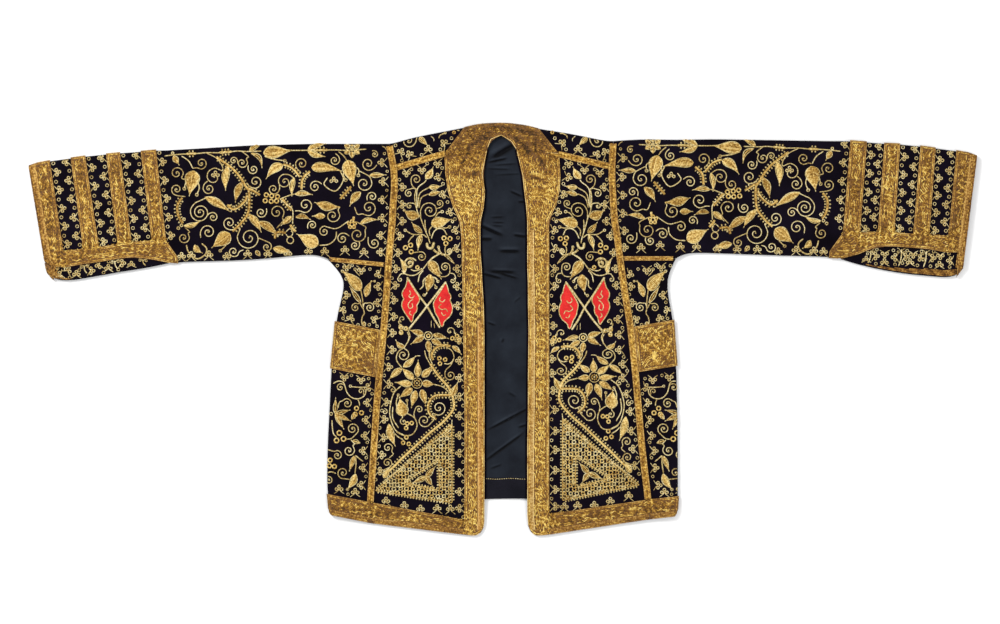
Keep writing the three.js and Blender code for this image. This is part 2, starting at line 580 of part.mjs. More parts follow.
function flag(side, name) {
  const grid = FLAGS[name].map(({ y, near, far }) =>
    [0, 0.5, 1].map((t) => upper(onFront(side, lerp(near, far, t), y))),
  );
  add(`flag_${side}_${name}`, wall(grid, GAP, GAP + FLAG), "red");
}

back();
linings();
for (const side of ["left", "right"]) {
  fronts(side);
  sides(side);
  sleeves(side);
  gussets(side);
  strips(side);
  Object.keys(FLAGS).forEach((name) => flag(side, name));
}

// The origin is on the table under the middle of the jacket's extent.
const extent = new THREE.Box3().setFromObject(jacket);
const middle = extent.getCenter(new THREE.Vector3());
jacket.position.set(-middle.x, -middle.y, -extent.min.z);

export default jacket;
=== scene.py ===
"""Looks of the embroidered jacket laid flat: cloth, lining, couched borders, embroidery and flags."""

import json
import math
import random

import bmesh
import bpy
import numpy as np
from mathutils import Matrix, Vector
from mathutils.bvhtree import BVHTree
from mathutils.geometry import delaunay_2d_cdt

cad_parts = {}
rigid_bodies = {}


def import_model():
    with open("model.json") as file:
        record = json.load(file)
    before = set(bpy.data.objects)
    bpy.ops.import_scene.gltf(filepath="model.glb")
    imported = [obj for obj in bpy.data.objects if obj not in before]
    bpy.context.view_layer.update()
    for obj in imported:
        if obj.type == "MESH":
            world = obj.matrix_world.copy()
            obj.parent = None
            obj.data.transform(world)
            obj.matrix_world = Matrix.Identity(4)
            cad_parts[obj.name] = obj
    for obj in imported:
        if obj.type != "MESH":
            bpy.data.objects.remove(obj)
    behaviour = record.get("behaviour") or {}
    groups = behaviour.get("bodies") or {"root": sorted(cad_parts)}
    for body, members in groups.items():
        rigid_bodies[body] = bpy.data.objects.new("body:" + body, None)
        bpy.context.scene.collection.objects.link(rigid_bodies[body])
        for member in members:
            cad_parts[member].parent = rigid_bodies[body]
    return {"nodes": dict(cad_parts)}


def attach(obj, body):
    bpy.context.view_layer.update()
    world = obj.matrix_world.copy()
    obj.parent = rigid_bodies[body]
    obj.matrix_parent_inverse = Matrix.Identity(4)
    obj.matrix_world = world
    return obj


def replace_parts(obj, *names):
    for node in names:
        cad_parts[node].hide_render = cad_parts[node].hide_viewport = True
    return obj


for thing in list(bpy.data.objects):
    bpy.data.objects.remove(thing)
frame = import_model()
bpy.context.view_layer.update()

MM = 0.001
CENTRE = (-0.47, -1.84)  # where the centre plane and y = 0 of the part's source lie in the frame, mm
SHARP_FOLD = math.radians(50)  # an edge of the solids that turns more stays sharp
SIDES = {"left": -1, "right": 1}
scene = bpy.context.scene


# ---- materials ----
def srgb(r, g, b):
    """A colour given in 0 to 255 as shown on a screen."""
    return tuple(((c / 255 + 0.055) / 1.055) ** 2.4 if c > 10 else c / 255 / 12.92 for c in (r, g, b)) + (1,)


def titled(name):
    """A socket's name as Blender writes it."""
    return name.replace("_", " ").title().replace("Ior", "IOR")


class Shader:
    """A material whose constants are set on the shader and whose patterns come from nodes."""

    def __init__(self, name, **constants):
        self.material = bpy.data.materials.new(name)
        self.material.use_nodes = True
        self.tree = self.material.node_tree
        self.bsdf = self.tree.nodes["Principled BSDF"]
        for socket, value in constants.items():
            self.bsdf.inputs[titled(socket)].default_value = value
        self.object = self.node("TexCoord").outputs["Object"]

    def node(self, kind, **values):
        """A new node. Each value goes to its property of that name, or else to its input."""
        made = self.tree.nodes.new("ShaderNode" + kind)
        for key, value in values.items():
            if hasattr(made, key):
                setattr(made, key, value)
            else:
                made.inputs[titled(key)].default_value = value
        return made

    def link(self, out, into):
        """Joins an output to an input."""
        self.tree.links.new(out, into)

    def noise(self, size, detail):
        """Noise with lumps of that size in metres."""
        made = self.node("TexNoise", Scale=1 / size, Detail=detail, Roughness=0.55)
        self.link(self.object, made.inputs["Vector"])
        return made.outputs["Fac"]

    def wave(self, size, direction, where=None, distortion=0.0):
        """Parallel ridges of that pitch in metres."""
        made = self.node("TexWave", bands_direction=direction, Scale=0.314 / size, Distortion=distortion)
        self.link(where or self.object, made.inputs["Vector"])
        return made.outputs["Fac"]

    def turned(self, degrees):
        """The object's coordinates, turned in the plan."""
        made = self.node("Mapping")
        made.inputs["Rotation"].default_value[2] = math.radians(degrees)
        self.link(self.object, made.inputs["Vector"])
        return made.outputs["Vector"]

    def ramp(self, fac, stops):
        """A colour that runs through the stops, each a place from 0 to 1 and a colour."""
        made = self.node("ValToRGB")
        while len(made.color_ramp.elements) < len(stops):
            made.color_ramp.elements.new(0.5)
        for element, (place, colour) in zip(made.color_ramp.elements, stops):
            element.position = place
            element.color = colour
        self.link(fac, made.inputs["Fac"])
        return made.outputs["Color"]

    def math(self, operation, a, b):
        """A sum or product of two outputs or numbers."""
        made = self.node("Math", operation=operation)
        for socket, value in zip(made.inputs, (a, b)):
            if isinstance(value, (int, float)):
                socket.default_value = value
            else:
                self.link(value, socket)
        return made.outputs[0]

    def mix(self, fac, a, b, blend):
        """Two colours mixed."""
        made = self.node("Mix", data_type="RGBA", blend_type=blend)
        for place, value in zip((0, 6, 7), (fac, a, b)):
            if isinstance(value, bpy.types.NodeSocket):
                self.link(value, made.inputs[place])
            else:
                made.inputs[place].default_value = value
        return made.outputs[2]

    def attribute(self, name):
        """A number written on the mesh's points."""
        return self.node("Attribute", attribute_name=name).outputs["Fac"]

    def bump(self, height, distance, strength, below=None):
        """A bumped normal, over the one below it."""
        made = self.node("Bump", Strength=strength, Distance=distance)
        self.link(height, made.inputs["Height"])
        if below is not None:
            self.link(below, made.inputs["Normal"])
        return made.outputs["Normal"]

    def finish(self, colour, normal, rough=None):
        """Links the patterns to the shader."""
        self.link(colour, self.bsdf.inputs["Base Color"])
        self.link(normal, self.bsdf.inputs["Normal"])
        if rough is not None:
            self.link(rough, self.bsdf.inputs["Roughness"])
        return self.material


def cloth_material(name, dark, light, weave, sheen):
    """Closely woven dark cloth, a little rubbed."""
    s = Shader(name, sheen_weight=sheen, sheen_roughness=0.5, specular_ior_level=0.05)
    warp = s.wave(weave, "X", where=s.turned(3))
    weft = s.wave(weave, "Y", where=s.turned(3))
    threads = s.math("MULTIPLY", warp, weft)
    rub = s.noise(0.05, 4)
    speck = s.noise(0.0016, 2)
    tone = s.math("MULTIPLY", s.math("ADD", rub, s.math("MULTIPLY", speck, 0.6)), 0.62)
    colour = s.ramp(tone, [(0.36, srgb(*dark)), (0.68, srgb(*light))])
    normal = s.bump(threads, 0.0004, 0.5, below=s.bump(s.noise(0.012, 3), 0.0012, 0.4))
    return s.finish(colour, normal, s.math("ADD", s.math("MULTIPLY", speck, 0.2), 0.72))


def satin_material(name, dark, light):
    """Fine dark satin with a soft sheen and a faint lengthwise grain, its creases darkened and their ridges
    lightened by painted shade and highlight.
    """
    s = Shader(name, sheen_weight=0.02, sheen_roughness=0.35, specular_ior_level=0.06)
    grain = s.wave(0.0012, "X", distortion=1.5)
    rub = s.noise(0.04, 5)
    colour = s.ramp(rub, [(0.32, srgb(*dark)), (0.7, srgb(*light))])
    # Painted shade and highlight: the number on the points darkens the creases' troughs and lightens their
    # ridges.
    crease_shading_ramp = [(0.0, (0.05, 0.05, 0.07, 1)), (0.5, (1, 1, 1, 1)), (1.0, (1.9, 1.9, 1.8, 1))]
    colour = s.mix(1.0, colour, s.ramp(s.attribute("painted_crease_shading"), crease_shading_ramp), "MULTIPLY")
    soft = s.bump(s.noise(0.014, 4), 0.0016, 0.45)
    normal = s.bump(grain, 0.0002, 0.4, below=soft)
    return s.finish(colour, normal, s.math("ADD", s.math("MULTIPLY", rub, 0.2), 0.42))


def cord_material(name, deep, mid, bright, tint=0.75):
    """Couched gilt cord: a twist along its length with painted shade in its grooves, each run a little
    different, browner where worn.

    tint is how much a run's own tone counts.
    """
    s = Shader(name, metallic=0.35, specular_ior_level=0.3)
    along = s.node("UVMap").outputs["UV"]
    strands = s.wave(0.0013, "DIAGONAL", where=along)
    tone = s.attribute("tone")
    worn = s.noise(0.07, 4)
    patch = s.noise(0.0026, 2)
    level = s.math("ADD", s.math("MULTIPLY", s.math("SUBTRACT", tone, 0.5), tint * 0.6), patch)
    level = s.math("ADD", level, s.math("MULTIPLY", s.math("SUBTRACT", worn, 0.5), 0.25))
    # The darkest stop, reached mostly where the painted shade of the collar's folds lowers the tone.
    shade = srgb(*(0.45 * c for c in deep))
    colour = s.ramp(level, [(0.12, shade), (0.32, srgb(*deep)), (0.5, srgb(*mid)), (0.68, srgb(*bright))])
    # Painted shade: the colour is darkened in the grooves between the twist's strands.
    dark = s.ramp(strands, [(0.0, (0.55, 0.5, 0.42, 1)), (0.5, (1, 1, 1, 1))])
    made = s.mix(0.6, colour, dark, "MULTIPLY")
    return s.finish(made, s.bump(strands, 0.0005, 0.6), s.math("ADD", s.math("MULTIPLY", patch, 0.3), 0.3))


def ground_material(name, dark, light):
    """The brown-gold ground that shows between couched cords."""
    s = Shader(name, metallic=0.2, specular_ior_level=0.4)
    fine = s.noise(0.002, 3)
    colour = s.ramp(fine, [(0.35, srgb(*dark)), (0.65, srgb(*light))])
    return s.finish(colour, s.bump(fine, 0.0009, 0.8), s.math("ADD", s.math("MULTIPLY", fine, 0.3), 0.45))


def felt_material(name, dark, light):
    """Scarlet felted wool."""
    s = Shader(name, sheen_weight=0.15, sheen_roughness=0.6, specular_ior_level=0.15)
    fibre = s.noise(0.0018, 4)
    rub = s.noise(0.012, 3)
    tone = s.math("ADD", s.math("MULTIPLY", fibre, 0.5), s.math("MULTIPLY", rub, 0.5))
    colour = s.ramp(tone, [(0.36, srgb(*dark)), (0.62, srgb(*light))])
    return s.finish(colour, s.bump(fibre, 0.0008, 0.6), s.math("ADD", s.math("MULTIPLY", fibre, 0.2), 0.7))


CLOTH = cloth_material("navy_wool", (5, 2, 7), (17, 11, 25), 0.0009, 0.006)
LINING = satin_material("dark_satin", (19, 22, 29), (32, 37, 45))
FACING = cloth_material("dark_twill", (17, 17, 23), (31, 30, 39), 0.0011, 0.03)
GROUND = ground_material("couching_ground", (76, 46, 12), (128, 86, 30))
COUCHING = cord_material("couched_gilt", (136, 92, 26), (206, 160, 64), (255, 226, 128), tint=0.6)
CORD = cord_material("gilt_cord", (164, 134, 74), (206, 184, 122), (240, 226, 178), tint=0.3)
FILLED = cord_material("gilt_filling", (146, 106, 38), (204, 166, 84), (244, 220, 148), tint=0.4)
EDGE = cord_material("gilt_edge", (148, 106, 44), (204, 162, 84), (238, 208, 138), tint=0.6)
ORANGE = cord_material("orange_gilt", (150, 98, 34), (204, 152, 74), (236, 194, 116))
WORN = cord_material("worn_gilt", (104, 66, 18), (160, 114, 44), (214, 174, 94))
FELT = felt_material("scarlet_felt", (180, 14, 22), (222, 44, 36))


# ---- meshes ----
def new_object(name, mesh, material):
    """A piece of the jacket, on its one body, with a material and a slot."""
    made = bpy.data.objects.new(name, mesh)
    scene.collection.objects.link(made)
    mesh.materials.clear()
    mesh.materials.append(material)
    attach(made, "root")
    return made


def welded(node):
    """A CAD node's mesh with its corners welded."""
    bm = bmesh.new()
    bm.from_mesh(frame["nodes"][node].data)
    bmesh.ops.remove_doubles(bm, verts=bm.verts, dist=4e-6)
    return bm


def points_of(mesh):
    """A mesh's points, in mm."""
    points = np.empty(len(mesh.vertices) * 3)
    mesh.vertices.foreach_get("co", points)
    return points.reshape(-1, 3) / MM


def move_points(mesh, points):
    """Puts a mesh's points at new places, in mm."""
    mesh.vertices.foreach_set("co", (points * MM).ravel())


def creased(x, y, crease):
    """How far a place is along and across a crease, mm."""
    cx, cy, turn = crease[:3]
    a = math.radians(turn)
    return (x - cx) * math.cos(a) + (y - cy) * math.sin(a), (y - cy) * math.cos(a) - (x - cx) * math.sin(a)


ROLLS = [(12, 61, 0.4), (74, 47, 1.9), (131, 53, 3.3), (158, 38, 5.1), (49, 71, 2.6)]  # degrees, mm, phase
LOWER_TOP = 2.2  # the lower layer's upper face above the table, mm
UPPER_RISE = 2.4  # how far above it the ripple is whole, mm
# Long soft creases of the upper layer: x, y, degrees, half length, half width and height, mm.
CREASES = [
    (-196, 150, 62, 60, 9, -0.8),
    (-226, 132, 50, 44, 8, -0.7),
    (-300, 196, 80, 60, 10, -0.5),
    (-420, 180, 96, 60, 10, -0.5),
    (-158, 190, 78, 50, 9, -0.6),
    (198, 156, 118, 60, 9, -0.8),
    (228, 138, 130, 44, 8, -0.7),
    (318, 200, 98, 60, 10, -0.5),
    (424, 184, 84, 60, 10, -0.5),
    (160, 192, 102, 50, 9, -0.6),
    (-120, -60, 80, 90, 12, -0.5),
    (-96, -190, 94, 70, 11, 0.5),
    (130, -70, 100, 90, 12, -0.5),
    (104, -200, 86, 70, 11, 0.5),
    (-228, -30, 70, 40, 9, -0.5),
    (232, -30, 110, 40, 9, -0.5),
    (-42, 279, 39, 20, 4, -0.9),
    (-46, 232, 8, 18, 4, -0.7),
    (-58, 254, 60, 26, 5, -0.6),
    (-20, 292, 12, 22, 4, -0.7),
    (24, 290, -30, 26, 4, -0.9),
    (46, 274, -38, 20, 4, -0.7),
    (66, 236, 120, 24, 5, 0.6),
    (40, 214, 30, 18, 4, -0.6),
]


def rolling(x, y):
    """A smooth irregular swell of about 1, the same on every run."""
    total = 0
    for angle, size, phase in ROLLS:
        a = math.radians(angle)
        total = total + np.sin((x * math.cos(a) + y * math.sin(a)) / size * 2 * math.pi + phase)
    return total / math.sqrt(len(ROLLS))


def ripple(x, y):
    """How far the upper layer's face departs from its smooth form, mm."""
    total = 0.26 * rolling(x, y)
    for crease in CREASES:
        long, wide, height = crease[3:]
        along, across = creased(x, y, crease)
        total = total + height * np.exp(-((along / long) ** 2) - (across / wide) ** 2)
    return total


def rippled(mesh):
    """Moves the points of the upper layer by the ripple, and leaves the lower layer flat."""
    points = points_of(mesh)
    share = np.clip((points[:, 2] - LOWER_TOP) / UPPER_RISE, 0, 1)
    points[:, 2] += ripple(points[:, 0], points[:, 1]) * share * share * (3 - 2 * share)
    move_points(mesh, points)


def shell(node, material, levels, name=None, form=rippled):
    """A smooth cloth shell in place of a CAD node."""
    bm = welded(node)
    bmesh.ops.join_triangles(
        bm,
        faces=bm.faces,
        angle_face_threshold=math.radians(30),
        angle_shape_threshold=math.radians(179),
        topology_influence=0.4,
    )
    crease = bm.edges.layers.float.new("crease_edge")
    for edge in bm.edges:
        if edge.is_manifold and edge.calc_face_angle() > SHARP_FOLD:
            edge[crease] = 1
    mesh = bpy.data.meshes.new(node)
    bm.to_mesh(mesh)
    bm.free()
    made = bpy.data.objects.new(node + "_form", mesh)
    scene.collection.objects.link(made)
    fine = made.modifiers.new("fine", "SUBSURF")
    fine.levels = fine.render_levels = levels
    done = bpy.data.meshes.new_from_object(made.evaluated_get(bpy.context.evaluated_depsgraph_get()))
    bpy.data.objects.remove(made)
    form(done)
    done.shade_smooth()
    done.set_sharp_from_angle(angle=math.radians(40))
    piece = new_object(name or node + "_cloth", done, material)
    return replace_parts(piece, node)


def tree_of(*objects):
    """A tree for casting rays at these objects' faces."""
    points, faces = [], []
    for thing in objects:
        base = len(points)
        points += [v.co.copy() for v in thing.data.vertices]
        faces += [[base + i for i in p.vertices] for p in thing.data.polygons]
    return BVHTree.FromPolygons(points, faces)


# ---- cords laid on the cloth ----
CAST_FROM = 0.06  # height from which the cloth under a cord is looked for, m
RIBBONS = {  # a cord's section by its number of sides: shares of its half width and of its height
    3: [(-1, -0.15), (0, 1), (1, -0.15)],
    4: [(-1, -0.15), (-0.55, 0.86), (0.55, 0.86), (1, -0.15)],
}


class Cords:
    """Cords of one material, gathered into one mesh. layer is 1 on the upper face, -1 on the underside."""

    def __init__(self, tree, layer=1):
        self.tree = tree
        self.layer = layer
        self.points, self.faces, self.uvs, self.tones = [], [], [], []
        self.random = random.Random(11)

    def hit(self, x, y):
        """The place and normal of the cloth at a point of the plan, in mm, or None."""
        start = Vector((x * MM, y * MM, CAST_FROM * self.layer))
        place, normal, _, _ = self.tree.ray_cast(start, Vector((0, 0, -self.layer)))
        if place is None or normal.z * self.layer < 0.2:
            return None
        return place, normal

    def lay(self, line, width, rise=None, lift=0.0, tone=None, sides=4, taper=True):
        """Lays a cord of that width along plan points in mm, broken where there is no cloth below it.

        rise is its height, lift how far it stands off the cloth, tone its colour from 0, dark, to 1.
        """
        rise = width * 0.52 if rise is None else rise
        if self.layer < 0:
            rise, lift = 0.2, 0.0
        tone = np.broadcast_to(self.random.random() if tone is None else tone, len(line))
        lift = np.broadcast_to(lift, len(line))
        start, run = 0, []
        for k, (x, y) in enumerate(line):
            found = self.hit(x, y)
            if found is None:
                self.run(run, width, rise, tone[start:k], sides, taper)
                start, run = k + 1, []
            else:
                run.append((found[0] + found[1] * lift[k] * MM, found[1]))
        self.run(run, width, rise, tone[start:], sides, taper)

    def run(self, run, width, rise, tone, sides, taper):
        """Adds the ribbon for one unbroken run of places and normals."""
        if len(run) < 2:
            return
        place = np.array([p[:] for p, _ in run])
        normal = np.array([n[:] for _, n in run])
        way = np.gradient(place, axis=0)
        length = np.linalg.norm(way, axis=1)
        if length.min() < 1e-9:
            return
        way /= length[:, None]
        across = np.cross(normal, way)
        across /= np.linalg.norm(across, axis=1)[:, None]
        half = np.full(len(run), width * MM / 2)
        high = np.full(len(run), rise * MM)
        if taper:
            half[[0, -1]] *= 0.45
            high[[0, -1]] *= 0.3
        profile = RIBBONS[sides]
        base = len(self.points)
        rows = [place + across * (half * a)[:, None] + normal * (high * b)[:, None] for a, b in profile]
        count = len(profile)
        self.points += np.stack(rows, axis=1).reshape(-1, 3).tolist()
        travelled = np.concatenate([[0], np.cumsum(np.linalg.norm(np.diff(place, axis=0), axis=1))])
        self.tones += np.repeat(np.broadcast_to(tone, len(run)), count).tolist()
        girth = width * MM * 1.3
        for i in range(len(run) - 1):
            for j in range(count - 1):
                a = base + i * count + j
                self.faces.append((a, a + count, a + count + 1, a + 1))
                v0, v1 = girth * j / (count - 1), girth * (j + 1) / (count - 1)
                u0, u1 = travelled[i], travelled[i + 1]
                self.uvs += [u0, v0, u1, v0, u1, v1, u0, v1]

    def piece(self, name, material, slot):
        """The cords as one piece, with their tones and their own coordinates."""
        mesh = bpy.data.meshes.new(name)
        mesh.from_pydata(self.points, [], self.faces)
        uv = mesh.uv_layers.new(name="UVMap")
        uv.data.foreach_set("uv", self.uvs)
        tone = mesh.attributes.new("tone", "FLOAT", "POINT")
        tone.data.foreach_set("value", self.tones)
        mesh.shade_smooth()
        return new_object(name, mesh, material)


def spaced(line, step):
    """The same line with points every step mm."""
    line = np.asarray(line, float)
    gaps = np.linalg.norm(np.diff(line, axis=0), axis=1)
    along = np.concatenate([[0], np.cumsum(gaps)])
    if along[-1] < 1e-6:
        return line[:1]
    stops = np.linspace(0, along[-1], max(2, int(round(along[-1] / step)) + 1))
    return np.stack([np.interp(stops, along, line[:, k]) for k in (0, 1)], axis=1)


def flowing(points, step=1.3):
    """A smooth curve through the points, with a point every step mm."""
    p = np.asarray(points, float)
    if len(p) < 3:
        return spaced(p, step)
    p = np.vstack([2 * p[0] - p[1], p, 2 * p[-1] - p[-2]])
    t = np.linspace(0, 1, 9)[:-1, None]
    parts = []
    for a, b, c, d in zip(p[:-3], p[1:-2], p[2:-1], p[3:]):
        square, cube = 2 * a - 5 * b + 4 * c - d, 3 * b - a - 3 * c + d
        parts.append(0.5 * (2 * b + (c - a) * t + square * t**2 + cube * t**3))
    return spaced(np.vstack(parts + [p[-2:-1]]), step)


def leftward(line):
    """The unit vectors to the left of a line, one for each of its points."""
    way = np.gradient(line, axis=0)
    way /= np.linalg.norm(way, axis=1)[:, None]
    return np.stack([-way[:, 1], way[:, 0]], axis=1)


def circle(centre, radius, count):
    """A closed circle of that many points, the last one on the first."""
    a = np.linspace(0, 2 * math.pi, count)
    return centre + radius * np.stack([np.cos(a), np.sin(a)], axis=1)


# ---- outlines of the gold borders ----
def outline(node):
    """The plan outline of a node's upper face, as a closed loop in mm, anticlockwise."""
    bm = welded(node)
    top = {f for f in bm.faces if f.normal.z > 0.08}
    following = {}
    for face in top:
        for loop in face.loops:
            if not any(f in top for f in loop.edge.link_faces if f is not face):
                following.setdefault(loop.vert, []).append(loop.link_loop_next.vert)
    best = []
    while following:
        start = next(iter(following))
        chain, here = [], start
        while here in following:
            nexts = following[here]
            chain.append((here.co.x / MM, here.co.y / MM))
            there = nexts.pop()
            if not nexts:
                del following[here]
            here = there
            if here is start:
                break
        if len(chain) > len(best):
            best = chain
    bm.free()
    return np.array(best)


def inset(loop, depth):
    """A closed loop drawn in by a depth in mm."""
    line = spaced(np.vstack([loop, loop[:1]]), 1.6)[:-1]
    way = np.roll(line, -1, axis=0) - np.roll(line, 1, axis=0)
    way /= np.maximum(np.linalg.norm(way, axis=1), 1e-9)[:, None]
    moved = line + np.stack([-way[:, 1], way[:, 0]], axis=1) * depth
    gap = np.sqrt(((moved[:, None, :] - line[None, :, :]) ** 2).sum(axis=2)).min(axis=1)
    return moved[(gap > depth * 0.94) & inside(moved, loop)]


def inside(points, loop):
    """Which points lie inside a closed loop."""
    x, y = points[:, 0][:, None], points[:, 1][:, None]
    a, b = loop, np.roll(loop, -1, axis=0)
    crosses = (a[:, 1] > y) != (b[:, 1] > y)
    with np.errstate(divide="ignore", invalid="ignore"):
        cut = (b[:, 0] - a[:, 0]) * (y - a[:, 1]) / (b[:, 1] - a[:, 1]) + a[:, 0]
    return (crosses & (x < cut)).sum(axis=1) % 2 == 1


def facing(loop, way, least=0.6):
    """The longest run of a loop whose outer side faces that way, in mm."""
    step = np.roll(loop, -1, axis=0) - loop
    out = np.stack([step[:, 1], -step[:, 0]], axis=1) / np.linalg.norm(step, axis=1)[:, None]
    good = out @ (np.array(way) / np.linalg.norm(way)) > least
    count = len(loop)
    found = []
    for start in range(count):
        if good[start] and not good[start - 1]:
            run = [loop[start]]
            k = start
            while good[k % count] and k < start + count:
                run.append(loop[(k + 1) % count])
                k += 1
            found.append(np.array(run))
    return max(found, key=lambda r: np.linalg.norm(np.diff(r, axis=0), axis=1).sum())


def near(points, line, reach):
    """Which points lie within a reach of a line's points."""
    if not len(line):
        return np.zeros(len(points), bool)
    return ((points[:, None, :] - line[None, :, :]) ** 2).sum(axis=2).min(axis=1) < reach**2


def runs(good):
    """The runs of places where good holds."""
    for run in np.split(np.arange(len(good)), np.flatnonzero(np.diff(good.astype(int))) + 1):
        if good[run[0]] and len(run) > 1:
            yield run


def wander(x, y, size, phase):
    """A smooth wandering number of about 1."""
    bend = 1.7 * np.sin(y / size * 1.3 + phase)
    return np.sin(x / size * 2.1 + phase + bend) + np.sin(y / size * 1.9 - phase * 2)


EDGE_ROWS = 2  # straight cords round each border
ROW_PITCH = 2.1  # between straight cords, mm
COUCH_PITCH, COUCH_SWING = 2.35, 2.1  # between zigzag cords, and how far they swing to a side, mm
STRAIGHT_TOP = {"left": 15, "right": 150}  # the straight rows by the opening end at this height, mm
# How much browner than new the gilt is, by the first word of a border's name: worn tone on most borders, but
# on the neck painted shade of the collar rolling over.
WEAR_AND_NECK_SHADE = {"neck": 0.5, "hem": 0.3, "cuff": 0.3, "sleeve": 0.16, "gusset": 0.4, "waist": 0.14}
# Folds of the collar whose shade is painted into the gilt as a browner tone: x, y, degrees, half length and
# half width, mm.
NECK_FOLD_SHADE = [
    (36, 295, -14, 14, 2.4),
    (36, 271, -46, 15, 3.2),
    (-21, 286, -8, 10, 3.0),
    (-44, 233, 8, 13, 3.4),
    (-42, 279, 39, 20, 2.4),
    (-58, 254, 60, 24, 2.2),
    (20, 284, -34, 16, 2.2),
    (-8, 303, -4, 24, 1.8),
    (58, 250, -64, 18, 2.4),
    (50, 226, -20, 16, 2.2),
]


def wear_and_shade_at(node, x, y):
    """How much browner than new the gilt of a border is at a place: the greater of its worn tone and, by the
    neck, the painted shade of the collar.
    """
    # By the neck the gilt is painted darker towards the collar's top and along its folds, as shade of the
    # collar rolling over.
    neck = WEAR_AND_NECK_SHADE["neck"] * max(0.0, min(1.0, (y - 226) / 44)) if abs(x) < 96 else 0.0
    if y > 200 and abs(x) < 96:
        for painted_crease_shading in NECK_FOLD_SHADE:
            long, wide = painted_crease_shading[3:]
            along, across = creased(x, y, painted_crease_shading)
            neck += 0.9 * math.exp(-((along / long) ** 2) - (across / wide) ** 2)
    return max(neck, WEAR_AND_NECK_SHADE.get(node.split("_")[0], 0.0))


def couching(node, layers, heading, joins=(), rows=0, way=(1, 0), grain=0.0):
    """Cords couched all over a border: straight ones round its edge, zigzag ones inside, along a heading.

    The border runs on into those it joins. rows more straight cords follow the side that faces way.
    grain is 1 where the zigzags are short and even, 0 where they run in long waves.
    """
    cords, edging, straight = layers
    loop = outlines[node]
    joined = [spaced(np.vstack([outlines[n], outlines[n][:1]]), 1.5) for n in joins]
    other = np.vstack(joined or [np.empty((0, 2))])
    for k in range(EDGE_ROWS):
        ring = inset(loop, 0.9 + k * ROW_PITCH)
        if len(ring) > 8:
            ring = np.vstack([ring, ring[:1]])
            for run in runs(~near(ring, other, 3.4 + k * ROW_PITCH)):
                wear_and_shade = np.array([wear_and_shade_at(node, *spot) for spot in ring[run]])
                tone = 0.5 - wear_and_shade + 0.2 * np.sin(np.arange(len(run)) * 0.23 + k)
                (cords if k else edging).lay(ring[run], 1.8 if k else 1.3, sides=3, taper=False, tone=tone)
    field = inset(loop, EDGE_ROWS * ROW_PITCH + 0.7)
    if len(field) < 8:
        return
    margin = (EDGE_ROWS + rows) * ROW_PITCH + 0.4
    side = np.empty((0, 2))
    top = STRAIGHT_TOP[node.split("_")[-1]] if node.startswith("front") else math.inf
    if rows:
        side = spaced(facing(loop, way, 0.8), 1.6)
        side = side[side[:, 1] < top]
        across = leftward(side)
        for k in range(EDGE_ROWS, EDGE_ROWS + rows):
            straight.lay(side + across * (0.9 + k * ROW_PITCH), 1.9, sides=3)
    a = math.radians(heading)
    turn = np.array([[math.cos(a), math.sin(a)], [-math.sin(a), math.cos(a)]])
    flat = loop @ turn.T
    low, high = flat.min(axis=0) - 4, flat.max(axis=0) + 4
    for v in np.arange(low[1], high[1], COUCH_PITCH):
        u = np.arange(low[0], high[0], 1.25)
        x, y = (np.stack([u, np.full_like(u, v)], axis=1) @ turn).T
        phase = 2.4 * wander(x, y, 24, v * 0.02) + (0.45 + 0.65 * grain) * wander(x, y, 7, 2.0)
        height = COUCH_SWING * (0.75 + 0.35 * wander(x, y, 17, 4.0))
        beat = u / 11.5 * 2 * math.pi + phase
        line = np.stack([u, v + height * np.sin(beat)], axis=1) @ turn
        sheen = 0.22 * np.cos(beat)
        good = inside(line, field) | near(line, other, 1.6)
        good |= inside(line, loop) & near(line, other, margin + 2.8)
        good &= ~near(line, side, margin) | (line[:, 1] > top)
        breaks = cords.random.random() * 18 + np.arange(0, len(line), 18)
        good[np.minimum(breaks.astype(int), len(line) - 1)] = False
        for run in runs(good):
            lift = 0.25 + 0.25 * np.sin(line[run, 0] * 0.9 + line[run, 1] * 0.7 + v)
            # The tone is lowered for wear, and by the neck for the painted shade of the collar's roll and
            # folds.
            wear_and_shade = np.array([wear_and_shade_at(node, *spot) for spot in line[run]])
            shade = 0.5 + (0.8 - 0.4 * grain) * (cords.random.random() - 0.5) - wear_and_shade + sheen[run]
            cords.lay(line[run], 1.7, lift=lift, sides=3, tone=shade)


def strip_cords(node, layers, way, reach=(0, 0), count=5):
    """Smooth cords side by side along a narrow strip, run on beyond its ends by a reach."""
    cords, edging, _ = layers
    loop = outlines[node]
    one = spaced(facing(loop, way, 0.5), 1.0)
    two = spaced(facing(loop, (-way[0], -way[1]), 0.5), 1.0)[::-1]
    steps = np.linspace(0, 1, max(len(one), len(two)) * 2 // 3)
    one, two = (np.stack([np.interp(steps, np.linspace(0, 1, len(q)), q[:, k]) for k in (0, 1)], axis=1)
                for q in (one, two))
    for k in range(count):
        f = (k + 0.5) / count
        line = one * (1 - f) + two * f
        for end, inner, more in ((0, 2, reach[0]), (-1, -3, reach[1])):
            out = line[end] - line[inner]
            tip = line[end] + out / np.linalg.norm(out) * more
            line = np.vstack([[tip], line]) if end == 0 else np.vstack([line, [tip]])
        line = spaced(line, 1.6)
        if k in (0, count - 1):
            edging.lay(line, 2.1, sides=3, tone=0.3, taper=False)
            continue
        here = 0
        while here < len(line) - 2:
            more = cords.random.randint(3, 7)
            cords.lay(line[here : here + more + 1], 2.1, lift=0.15, sides=3, tone=0.6 * cords.random.random())
            here += more


